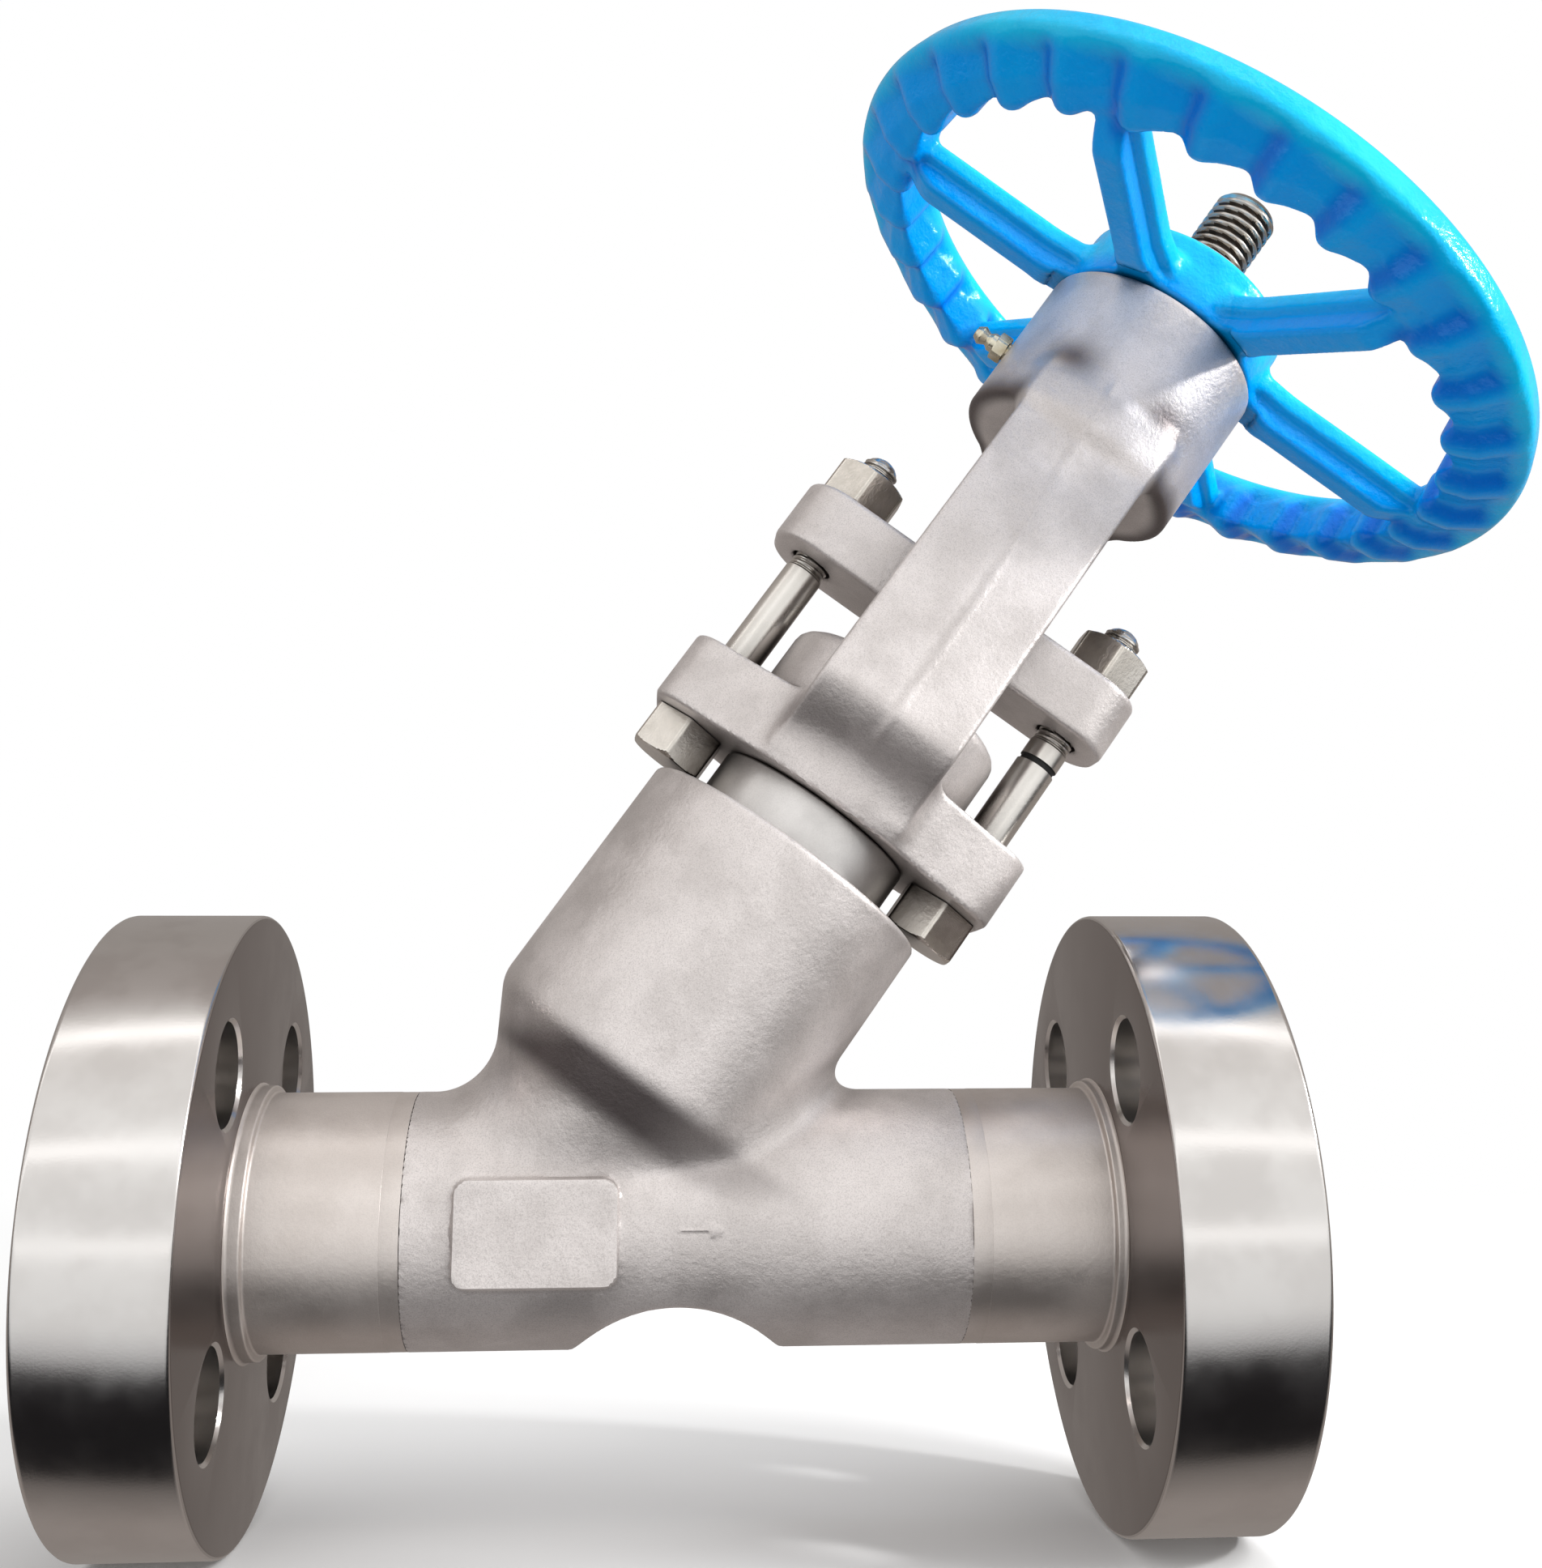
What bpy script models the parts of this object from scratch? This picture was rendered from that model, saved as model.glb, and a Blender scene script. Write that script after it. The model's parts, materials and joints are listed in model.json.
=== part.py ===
"""Y-pattern globe valve, NPS 1 class 2500, with weld-neck flanges, outside screw and yoke.

Frame: the origin is the centre of the inlet flange's sealing face, +X runs along the pipe
with the flow, +Z is up. The stem leans towards the outlet. Distances "along the stem" are
measured from the point where the stem axis crosses the pipe axis.
"""

import math

import bmesh
import bpy
from mathutils import Matrix, Vector

MM = 0.001
GAP = 0.3 * MM

# Pipe run
FACE_TO_FACE = 308.0 * MM
FLANGE_RADIUS = 80.0 * MM
FLANGE_THICKNESS = 35.1 * MM
RAISED_FACE_RADIUS = 25.4 * MM
RAISED_FACE_HEIGHT = 6.4 * MM
BOLT_CIRCLE_RADIUS = 54.0 * MM
BOLT_HOLE_RADIUS = 13.0 * MM
BORE_RADIUS = 9.5 * MM
PIPE_RADIUS = 33.0 * MM
INLET_WELD_AT = 81.0 * MM
OUTLET_WELD_AT = 230.0 * MM
WELD_WIDTH = 4.0 * MM
RELIEF_AT = 152.7 * MM
RELIEF_TOP = -19.7 * MM
RELIEF_RADIUS = 34.3 * MM
PAD_CENTRE = 116.7 * MM
PAD_LENGTH = 41.0 * MM
PAD_HEIGHT = 27.0 * MM

# Stem axis
STEM_CROSSING = 112.2 * MM
STEM_ANGLE = math.radians(54.0)

# Neck and bonnet, along the stem
NECK_RADIUS = 44.0 * MM
NECK_TAPER_END_RADIUS = 29.0 * MM
NECK_TAPER_START = 20.0 * MM
NECK_TAPER_END = 57.0 * MM
NECK_TOP = 119.0 * MM
CHAMBER_RADIUS = 22.0 * MM
CHAMBER_FLOOR = 4.3 * MM
SHOULDER = 83.0 * MM
BONNET_RADIUS = 30.0 * MM
BONNET_TOP = 134.0 * MM
BONNET_NECK_RADIUS = 24.5 * MM
BONNET_NECK_TOP = 175.5 * MM
PACKING_RADIUS = 16.3 * MM
PACKING_FLOOR = 128.3 * MM
PACKING_RINGS = 5
PACKING_PITCH = 6.0 * MM
STEM_RADIUS = 10.0 * MM
SEAT_RADIUS = 17.0 * MM
SEAT_FLOOR = -6.0 * MM
SEAT_TOP = 4.0 * MM

# Yoke
BASE_BOTTOM = 134.3 * MM
BASE_TOP = 155.0 * MM
BASE_HALF_LENGTH = 56.0 * MM
BASE_HALF_WIDTH = 20.0 * MM
BASE_BELLY = 33.0 * MM
LOCK_NUT_RADIUS = 34.0 * MM
LOCK_NUT_TOP = 176.0 * MM
LEG_HALF_WIDTH = 21.0 * MM
LEG_THICKNESS = 12.0 * MM
LEG_OUTER_LOW = 46.0 * MM
LEG_OUTER_HIGH = 31.0 * MM
LEG_LOW = 160.0 * MM
LEG_HIGH = 262.0 * MM
LEG_TOP = 280.0 * MM
HUB_RADIUS = 34.5 * MM
HUB_BOTTOM = 263.5 * MM
HUB_TOP = 311.0 * MM
HUB_BORE = 25.0 * MM
HUB_SEAT = 275.5 * MM

# Gland and its bolts
BOLT_OFFSET = 43.5 * MM
BOLT_RADIUS = 6.0 * MM
BOLT_THREAD_RADIUS = 5.6 * MM
BOLT_STEP = 183.5 * MM
BOLT_TOP = 233.0 * MM
BOLT_CLEARANCE = 6.5 * MM
HEX_ACROSS_FLATS = 21.0 * MM
HEAD_BOTTOM = 121.5 * MM
HEAD_TOP = 134.0 * MM
NUT_BOTTOM = 213.0 * MM
NUT_TOP = 225.5 * MM
GLAND_FLANGE_BOTTOM = 193.5 * MM
GLAND_FLANGE_TOP = 212.7 * MM
GLAND_FLANGE_HALF_LENGTH = 57.0 * MM
GLAND_FLANGE_HALF_WIDTH = 16.5 * MM

# Stem nut and handwheel
SLEEVE_RADIUS = 14.0 * MM
SLEEVE_BOTTOM = 266.0 * MM
SLEEVE_TOP = 341.5 * MM
SLEEVE_THREAD_RADIUS = 12.4 * MM
SLEEVE_SHOULDER = 332.2 * MM
COLLAR_RADIUS = 21.0 * MM
COLLAR_BOTTOM = 284.0 * MM
COLLAR_TOP = 291.0 * MM
WHEEL_BOTTOM = 312.0 * MM
WHEEL_HUB_TOP = 332.0 * MM
WHEEL_HUB_RADIUS = 33.0 * MM
WHEEL_NUT_FLATS = 32.0 * MM
WHEEL_NUT_TOP = 341.0 * MM
WHEEL_RADIUS = 114.0 * MM
WHEEL_PHASE = math.radians(2.0)
FLUTES = 30
FLUTE_DEPTH = 2.6 * MM
SPOKES = 6
SPOKE_WIDTH = 14.0 * MM
SPOKE_BOTTOM = 309.5 * MM
SPOKE_TOP = 323.5 * MM
STEM_TOP = 369.0 * MM

SEGMENTS = 28
FINE_SEGMENTS = 44

STEM_FRAME = (
    Matrix.Translation((STEM_CROSSING, 0, 0))
    @ Matrix.Rotation(math.pi / 2 - STEM_ANGLE, 4, "Y")
)
PIPE_FRAME = Matrix.Rotation(math.pi / 2, 4, "Y")
WORLD_FRAME = Matrix.Identity(4)


def clear_scene():
    for obj in list(bpy.data.objects):
        bpy.data.objects.remove(obj)


def make_collection(name):
    collection = bpy.data.collections.new(name)
    bpy.context.scene.collection.children.link(collection)
    return collection


def make_material(name, colour, metallic, roughness):
    material = bpy.data.materials.new(name)
    material.use_nodes = True
    shader = material.node_tree.nodes["Principled BSDF"]
    shader.inputs["Base Color"].default_value = (*colour, 1)
    shader.inputs["Metallic"].default_value = metallic
    shader.inputs["Roughness"].default_value = roughness
    return material


def add_object(name, mesh, frame, material=None):
    """A mesh placed in the scene; without a material it is a cutter or a joining piece."""
    obj = bpy.data.objects.new(name, mesh)
    obj.matrix_world = frame
    if material is None:
        helpers.objects.link(obj)
        obj.hide_render = True
        obj.display_type = "WIRE"
    else:
        valve.objects.link(obj)
        obj.data.materials.append(material)
    return obj


def revolve(name, profile, frame, material=None, steps=SEGMENTS):
    """Turns (radius, height) points about local Z. They run down the outer side."""
    mesh = bpy.data.meshes.new(name)
    points = [(r, 0, h) for r, h in profile]
    closed = all(r > 0 for r, h in profile)
    edges = [(i, i + 1) for i in range(len(points) - 1)]
    if closed:
        edges.append((len(points) - 1, 0))
    mesh.from_pydata(points, edges, [])
    obj = add_object(name, mesh, frame, material)
    screw = obj.modifiers.new("Screw", "SCREW")
    screw.axis = "Z"
    screw.steps = steps
    screw.render_steps = steps
    screw.use_merge_vertices = True
    screw.merge_threshold = 0.00001
    screw.use_smooth_shade = False
    return obj


def tube(name, outer, inner, bottom, top, frame, material=None, steps=SEGMENTS):
    profile = [(outer, top), (outer, bottom), (inner, bottom), (inner, top)]
    return revolve(name, profile, frame, material, steps)


def rod(name, radius, bottom, top, frame, material=None, steps=SEGMENTS, offset=(0, 0)):
    """A solid cylinder or prism along local Z, with its axis at the given offset."""
    shape = bmesh.new()
    bmesh.ops.create_cone(
        shape,
        cap_ends=True,
        segments=steps,
        radius1=radius,
        radius2=radius,
        depth=top - bottom,
        matrix=Matrix.Translation((offset[0], offset[1], (top + bottom) / 2)),
    )
    return finish_mesh(name, shape, frame, material)


def finish_mesh(name, shape, frame, material=None):
    mesh = bpy.data.meshes.new(name)
    shape.to_mesh(mesh)
    shape.free()
    return add_object(name, mesh, frame, material)


def block(name, low, high, frame, material=None):
    shape = bmesh.new()
    size = Vector(high) - Vector(low)
    middle = (Vector(high) + Vector(low)) / 2
    bmesh.ops.create_cube(
        shape, size=1, matrix=Matrix.Translation(middle) @ Matrix.Diagonal((*size, 1))
    )
    return finish_mesh(name, shape, frame, material)


def ball(name, radius, centre, frame):
    shape = bmesh.new()
    bmesh.ops.create_uvsphere(
        shape, u_segments=24, v_segments=12, radius=radius, matrix=Matrix.Translation(centre)
    )
    return finish_mesh(name, shape, frame)


def plate(name, outline, bottom, top, frame, material=None):
    """A flat outline in local XY made thick along local Z."""
    curve = bpy.data.curves.new(name, "CURVE")
    curve.dimensions = "2D"
    curve.fill_mode = "BOTH"
    curve.extrude = (top - bottom) / 2
    spline = curve.splines.new("POLY")
    spline.points.add(len(outline) - 1)
    for point, (x, y) in zip(spline.points, outline):
        point.co = (x, y, 0, 1)
    spline.use_cyclic_u = True
    source = bpy.data.objects.new(name + "_outline", curve)
    bpy.context.scene.collection.objects.link(source)
    graph = bpy.context.evaluated_depsgraph_get()
    shape = bmesh.new()
    flat = source.evaluated_get(graph).to_mesh()
    shape.from_mesh(flat)
    source.evaluated_get(graph).to_mesh_clear()
    bpy.data.objects.remove(source)
    bmesh.ops.remove_doubles(shape, verts=shape.verts, dist=0.000001)
    bmesh.ops.translate(shape, verts=shape.verts, vec=(0, 0, (top + bottom) / 2))
    bmesh.ops.recalc_face_normals(shape, faces=shape.faces)
    return finish_mesh(name, shape, frame, material)


def loft(name, sections, frame, material=None, ring=False):
    """Joins sections with equally many points; a ring closes on itself, a bar gets caps."""
    shape = bmesh.new()
    rows = [[shape.verts.new(point) for point in section] for section in sections]
    pairs = list(zip(rows, rows[1:]))
    if ring:
        pairs.append((rows[-1], rows[0]))
    else:
        shape.faces.new(rows[0])
        shape.faces.new(rows[-1])
    for near, far in pairs:
        for i in range(len(near)):
            j = (i + 1) % len(near)
            shape.faces.new((near[i], near[j], far[j], far[i]))
    bmesh.ops.recalc_face_normals(shape, faces=shape.faces)
    return finish_mesh(name, shape, frame, material)


def combine(target, others, operation):
    for other in others:
        modifier = target.modifiers.new(other.name, "BOOLEAN")
        modifier.operation = operation
        modifier.solver = "EXACT"
        modifier.object = other


def join(target, *others):
    combine(target, others, "UNION")


def cut(target, *others):
    combine(target, others, "DIFFERENCE")


def arc(centre, radius, start, end, count):
    """Points round an arc, with the angles in degrees."""
    points = []
    for i in range(count + 1):
        angle = math.radians(start + (end - start) * i / count)
        points.append((centre[0] + radius * math.cos(angle), centre[1] + radius * math.sin(angle)))
    return points


def line_frame(start, end):
    """A frame whose local Z runs from start to end."""
    direction = Vector(end) - Vector(start)
    turn = direction.to_track_quat("Z", "Y").to_matrix().to_4x4()
    return Matrix.Translation(start) @ turn


def radial_frame(degrees, height):
    """In the stem frame: local Z points outward at an angle, from a height on the stem."""
    turn = Matrix.Rotation(math.radians(degrees), 4, "Z")
    return STEM_FRAME @ Matrix.Translation((0, 0, height)) @ turn @ Matrix.Rotation(math.pi / 2, 4, "Y")


def build_flange(name, face, direction):
    """A weld-neck flange. The face is its X position; it extends in the given direction."""
    weld = INLET_WELD_AT if direction > 0 else OUTLET_WELD_AT
    length = abs(weld - face) - WELD_WIDTH / 2 - GAP
    back = RAISED_FACE_HEIGHT + FLANGE_THICKNESS
    edge = 1.5 * MM
    fillet = 5.0 * MM
    side = [
        (RAISED_FACE_RADIUS, 0),
        (RAISED_FACE_RADIUS, RAISED_FACE_HEIGHT),
        (FLANGE_RADIUS - edge, RAISED_FACE_HEIGHT),
        (FLANGE_RADIUS, RAISED_FACE_HEIGHT + edge),
        (FLANGE_RADIUS, back - edge),
        (FLANGE_RADIUS - edge, back),
        (PIPE_RADIUS + fillet, back),
        (PIPE_RADIUS + 0.3 * fillet, back + 0.3 * fillet),
        (PIPE_RADIUS, back + fillet),
        (PIPE_RADIUS, length),
        (BORE_RADIUS, length),
        (BORE_RADIUS, 0),
    ]
    profile = [(r, face + direction * h) for r, h in side]
    if direction > 0:
        profile.reverse()
    flange = revolve(name, profile, PIPE_FRAME, forged_steel, FINE_SEGMENTS)
    for i in range(4):
        angle = math.radians(45 + 90 * i)
        centre = (BOLT_CIRCLE_RADIUS * math.cos(angle), BOLT_CIRCLE_RADIUS * math.sin(angle))
        ends = sorted((face, face + direction * (back + 10 * MM)))
        hole = rod(f"{name}_hole_{i + 1}", BOLT_HOLE_RADIUS, *ends, PIPE_FRAME, None, 24, centre)
        cut(flange, hole)


def build_weld(name, centre):
    half = WELD_WIDTH / 2
    tube(name, PIPE_RADIUS, BORE_RADIUS, centre - half, centre + half, PIPE_FRAME, weld_metal,
         FINE_SEGMENTS)


def build_body():
    start = INLET_WELD_AT + WELD_WIDTH / 2 + GAP
    end = OUTLET_WELD_AT - WELD_WIDTH / 2 - GAP
    body = rod("body", PIPE_RADIUS, start, end, PIPE_FRAME, forged_steel, FINE_SEGMENTS)
    neck = revolve(
        "body_neck",
        [
            (0, NECK_TOP),
            (NECK_RADIUS - 2 * MM, NECK_TOP),
            (NECK_RADIUS, NECK_TOP - 2 * MM),
            (NECK_RADIUS, NECK_TAPER_END + 3 * MM),
            (NECK_RADIUS - 1.4 * MM, NECK_TAPER_END - 3 * MM),
            (NECK_TAPER_END_RADIUS, NECK_TAPER_START),
            (NECK_TAPER_END_RADIUS - 2 * MM, 0),
            (0, 0),
        ],
        STEM_FRAME,
        steps=FINE_SEGMENTS,
    )
    pad = block(
        "body_pad",
        (PAD_CENTRE - PAD_LENGTH / 2, -PIPE_RADIUS - 1.2 * MM, -PAD_HEIGHT / 2),
        (PAD_CENTRE + PAD_LENGTH / 2, -25 * MM, PAD_HEIGHT / 2),
        WORLD_FRAME,
    )
    join(body, neck, pad)
    relief_axis = line_frame(
        (RELIEF_AT, -50 * MM, RELIEF_TOP - RELIEF_RADIUS),
        (RELIEF_AT, 50 * MM, RELIEF_TOP - RELIEF_RADIUS),
    )
    below_seat = Vector((STEM_CROSSING, 0, 0)) + 12 * MM * Vector(
        (-math.cos(STEM_ANGLE), 0, -math.sin(STEM_ANGLE))
    )
    inlet_dip = Vector((INLET_WELD_AT - 12 * MM, 0, 2.6 * MM))
    cut(
        body,
        rod("body_relief", RELIEF_RADIUS, 0, 100 * MM, relief_axis, None, FINE_SEGMENTS),
        rod("body_gasket_bore", BONNET_RADIUS + GAP, SHOULDER, 140 * MM, STEM_FRAME),
        rod("body_chamber", CHAMBER_RADIUS, CHAMBER_FLOOR, SHOULDER + 5 * MM, STEM_FRAME),
        rod("body_seat_pocket", SEAT_RADIUS + GAP, SEAT_FLOOR - GAP, 10 * MM, STEM_FRAME),
        rod("body_seat_port", BORE_RADIUS, -12 * MM, 0, STEM_FRAME, None, 24),
        ball("body_turn", BORE_RADIUS * 1.02, below_seat, WORLD_FRAME),
        rod("body_inlet", BORE_RADIUS, 0, (below_seat - inlet_dip).length,
            line_frame(inlet_dip, below_seat), None, 24),
        rod("body_outlet", BORE_RADIUS, STEM_CROSSING + 19 * MM, FACE_TO_FACE, PIPE_FRAME, None, 24),
    )


def build_trim():
    """Seat ring, disc, stem and the pieces that hold them."""
    revolve(
        "seat_ring",
        [
            (SEAT_RADIUS, SEAT_TOP),
            (SEAT_RADIUS, SEAT_FLOOR),
            (BORE_RADIUS, SEAT_FLOOR),
            (BORE_RADIUS, 1.2 * MM),
            (BORE_RADIUS + 2.8 * MM, SEAT_TOP),
        ],
        STEM_FRAME,
        hard_face,
    )
    revolve(
        "disc",
        [
            (0, 24 * MM),
            (16 * MM, 24 * MM),
            (16 * MM, 5.2 * MM),
            (15.4 * MM, 4.6 * MM),
            (12.4 * MM, 4.6 * MM),
            (8.6 * MM, 0.8 * MM),
            (0, 0.8 * MM),
        ],
        STEM_FRAME,
        hard_face,
    )
    cut(
        bpy.data.objects["disc"],
        rod("disc_cavity", 11.2 * MM, 13.7 * MM, 30 * MM, STEM_FRAME),
    )
    revolve(
        "disc_nut",
        [
            (14 * MM, 30 * MM),
            (14 * MM, 24.3 * MM),
            (10.9 * MM, 24.3 * MM),
            (10.9 * MM, 20.6 * MM),
            (7 * MM, 20.6 * MM),
            (7 * MM, 30 * MM),
        ],
        STEM_FRAME,
        steel,
    )
    revolve(
        "stem",
        [
            (0, STEM_TOP),
            (8 * MM, STEM_TOP),
            (STEM_RADIUS, STEM_TOP - 2 * MM),
            (STEM_RADIUS, 73.5 * MM),
            (13 * MM, 70.5 * MM),
            (13 * MM, 63.5 * MM),
            (STEM_RADIUS, 60.5 * MM),
            (STEM_RADIUS, 30.6 * MM),
            (6.6 * MM, 30.6 * MM),
            (6.6 * MM, 20.3 * MM),
            (9.6 * MM, 20.3 * MM),
            (9.6 * MM, 15 * MM),
            (8.6 * MM, 14 * MM),
            (0, 14 * MM),
        ],
        STEM_FRAME,
        steel,
    )
    tube("backseat_bush", 15 * MM, STEM_RADIUS + GAP, 86 * MM, 91.7 * MM, STEM_FRAME, hard_face)
    tube("bonnet_gasket", 29.7 * MM, CHAMBER_RADIUS + 1 * MM, SHOULDER + GAP, 85.7 * MM, STEM_FRAME,
         graphite)


def build_bonnet():
    revolve(
        "bonnet",
        [
            (BONNET_NECK_RADIUS - 1 * MM, BONNET_NECK_TOP),
            (BONNET_NECK_RADIUS, BONNET_NECK_TOP - 1 * MM),
            (BONNET_NECK_RADIUS, BONNET_TOP),
            (BONNET_RADIUS - 0.8 * MM, BONNET_TOP),
            (BONNET_RADIUS, BONNET_TOP - 0.8 * MM),
            (BONNET_RADIUS, 86 * MM),
            (15.3 * MM, 86 * MM),
            (15.3 * MM, 92 * MM),
            (STEM_RADIUS + 0.4 * MM, 92 * MM),
            (STEM_RADIUS + 0.4 * MM, PACKING_FLOOR),
            (PACKING_RADIUS, PACKING_FLOOR),
            (PACKING_RADIUS, BONNET_NECK_TOP),
        ],
        STEM_FRAME,
        forged_steel,
    )
    outer = PACKING_RADIUS - GAP
    inner = STEM_RADIUS + GAP
    floor = PACKING_FLOOR + GAP
    tube("packing_base_ring", outer, inner, floor, floor + 3 * MM, STEM_FRAME, steel)
    for i in range(PACKING_RINGS):
        low = floor + 3 * MM + GAP + i * PACKING_PITCH
        high = low + PACKING_PITCH - GAP
        tube(f"packing_ring_{i + 1}", outer, inner, low, high, STEM_FRAME, graphite)
    low = floor + 3 * MM + GAP + PACKING_RINGS * PACKING_PITCH
    revolve(
        "gland",
        [
            (20 * MM, 193.2 * MM),
            (20 * MM, 187.5 * MM),
            (outer, 187.5 * MM),
            (outer, low),
            (inner + 0.1 * MM, low),
            (inner + 0.1 * MM, 193.2 * MM),
        ],
        STEM_FRAME,
        steel,
    )


def rounded_oblong(half_length, half_width, corner, count):
    points = []
    for sx, sy, start in ((1, 1, 0), (-1, 1, 90), (-1, -1, 180), (1, -1, 270)):
        centre = (sx * (half_length - corner), sy * (half_width - corner))
        points += arc(centre, corner, start, start + 90, count)
    return points


def build_gland_flange():
    outline = rounded_oblong(GLAND_FLANGE_HALF_LENGTH, GLAND_FLANGE_HALF_WIDTH, 14 * MM, 5)
    flange = plate("gland_flange", outline, GLAND_FLANGE_BOTTOM, GLAND_FLANGE_TOP, STEM_FRAME,
                   forged_steel)
    cut(flange, rod("gland_flange_eye", STEM_RADIUS + 1.5 * MM, 190 * MM, 220 * MM, STEM_FRAME))
    for side in (-1, 1):
        hole = rod(f"gland_flange_hole_{side + 1}", BOLT_CLEARANCE, 190 * MM, 220 * MM, STEM_FRAME,
                   None, 20, (side * BOLT_OFFSET, 0))
        cut(flange, hole)


def build_gland_bolts():
    across_corners = HEX_ACROSS_FLATS / math.cos(math.pi / 6)
    for name, side in (("left", -1), ("right", 1)):
        frame = STEM_FRAME @ Matrix.Translation((side * BOLT_OFFSET, 0, 0))
        bolt = revolve(
            f"gland_bolt_{name}",
            [
                (0, BOLT_TOP),
                (3.2 * MM, BOLT_TOP - 1.1 * MM),
                (BOLT_THREAD_RADIUS, BOLT_TOP - 4 * MM),
                (BOLT_THREAD_RADIUS, BOLT_STEP),
                (BOLT_RADIUS, BOLT_STEP - 0.6 * MM),
                (BOLT_RADIUS, HEAD_BOTTOM + 4 * MM),
                (0, HEAD_BOTTOM + 4 * MM),
            ],
            frame,
            bright_steel,
            20,
        )
        join(bolt, rod(f"gland_bolt_head_{name}", across_corners / 2, HEAD_BOTTOM, HEAD_TOP, frame,
                       None, 6))
        nut = rod(f"gland_nut_{name}", across_corners / 2, NUT_BOTTOM, NUT_TOP, frame, bright_steel, 6)
        cut(nut, rod(f"gland_nut_bore_{name}", BOLT_THREAD_RADIUS + GAP, 210 * MM, 230 * MM, frame,
                     None, 20))


def leg_section(side, height):
    """The leg's outline across the stem: flat inside, two facets meeting in a ridge outside."""
    share = (height - LEG_LOW) / (LEG_HIGH - LEG_LOW)
    outer = LEG_OUTER_LOW + share * (LEG_OUTER_HIGH - LEG_OUTER_LOW)
    inner = outer - LEG_THICKNESS
    ridge = outer + 1.5 * MM
    low_share = max(0.0, (LEG_LOW - height) / (LEG_LOW - BASE_BOTTOM))
    outer -= low_share * (LEG_OUTER_LOW - BASE_BELLY + 3 * MM)
    ridge -= low_share * (LEG_OUTER_LOW - BASE_BELLY + 4 * MM)
    inner -= low_share * 12 * MM
    return [
        (-LEG_HALF_WIDTH, side * inner, height),
        (-LEG_HALF_WIDTH, side * outer, height),
        (2 * MM, side * ridge, height),
        (LEG_HALF_WIDTH, side * outer, height),
        (LEG_HALF_WIDTH, side * inner, height),
    ]


def build_yoke():
    outline = rounded_oblong(BASE_HALF_LENGTH, BASE_HALF_WIDTH, 11 * MM, 4)
    yoke = plate("yoke", outline, BASE_BOTTOM, BASE_TOP, STEM_FRAME, forged_steel)
    belly = rod("yoke_belly", BASE_BELLY, BASE_BOTTOM, BASE_TOP, STEM_FRAME)
    hub = rod("yoke_hub", HUB_RADIUS, HUB_BOTTOM, HUB_TOP, STEM_FRAME)
    join(yoke, belly, hub)
    for side in (-1, 1):
        heights = (BASE_BOTTOM + 1 * MM, 147 * MM, LEG_LOW, LEG_HIGH, LEG_TOP)
        sections = [leg_section(side, height) for height in heights]
        join(yoke, loft(f"yoke_leg_{side + 1}", sections, STEM_FRAME))
    cut(
        yoke,
        rod("yoke_base_bore", BONNET_NECK_RADIUS + GAP, 130 * MM, 160 * MM, STEM_FRAME),
        rod("yoke_nut_room", LOCK_NUT_RADIUS + 0.6 * MM, BASE_TOP, LOCK_NUT_TOP + 2 * MM, STEM_FRAME),
        rod("yoke_sleeve_bore", SLEEVE_RADIUS + 0.5 * MM, 255 * MM, 290 * MM, STEM_FRAME),
        rod("yoke_bearing_bore", HUB_BORE, HUB_SEAT, 320 * MM, STEM_FRAME),
        rod("yoke_nipple_hole", 3.3 * MM, 20 * MM, 40 * MM, radial_frame(180, 284 * MM), None, 16),
        rod("yoke_screw_hole", 3.3 * MM, 20 * MM, 40 * MM, radial_frame(90, 305 * MM), None, 16),
    )
    for side in (-1, 1):
        hole = rod(f"yoke_bolt_hole_{side + 1}", BOLT_CLEARANCE, 130 * MM, 160 * MM, STEM_FRAME,
                   None, 20, (side * BOLT_OFFSET, 0))
        cut(yoke, hole)
    tube_profile = [
        (LOCK_NUT_RADIUS - 4 * MM, LOCK_NUT_TOP),
        (LOCK_NUT_RADIUS - 1.2 * MM, LOCK_NUT_TOP - 1.2 * MM),
        (LOCK_NUT_RADIUS, LOCK_NUT_TOP - 4 * MM),
        (LOCK_NUT_RADIUS, BASE_TOP + 3 * MM),
        (LOCK_NUT_RADIUS - 2 * MM, BASE_TOP + GAP),
        (BONNET_NECK_RADIUS + GAP, BASE_TOP + GAP),
        (BONNET_NECK_RADIUS + GAP, LOCK_NUT_TOP),
    ]
    revolve("yoke_lock_nut", tube_profile, STEM_FRAME, forged_steel)


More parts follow.
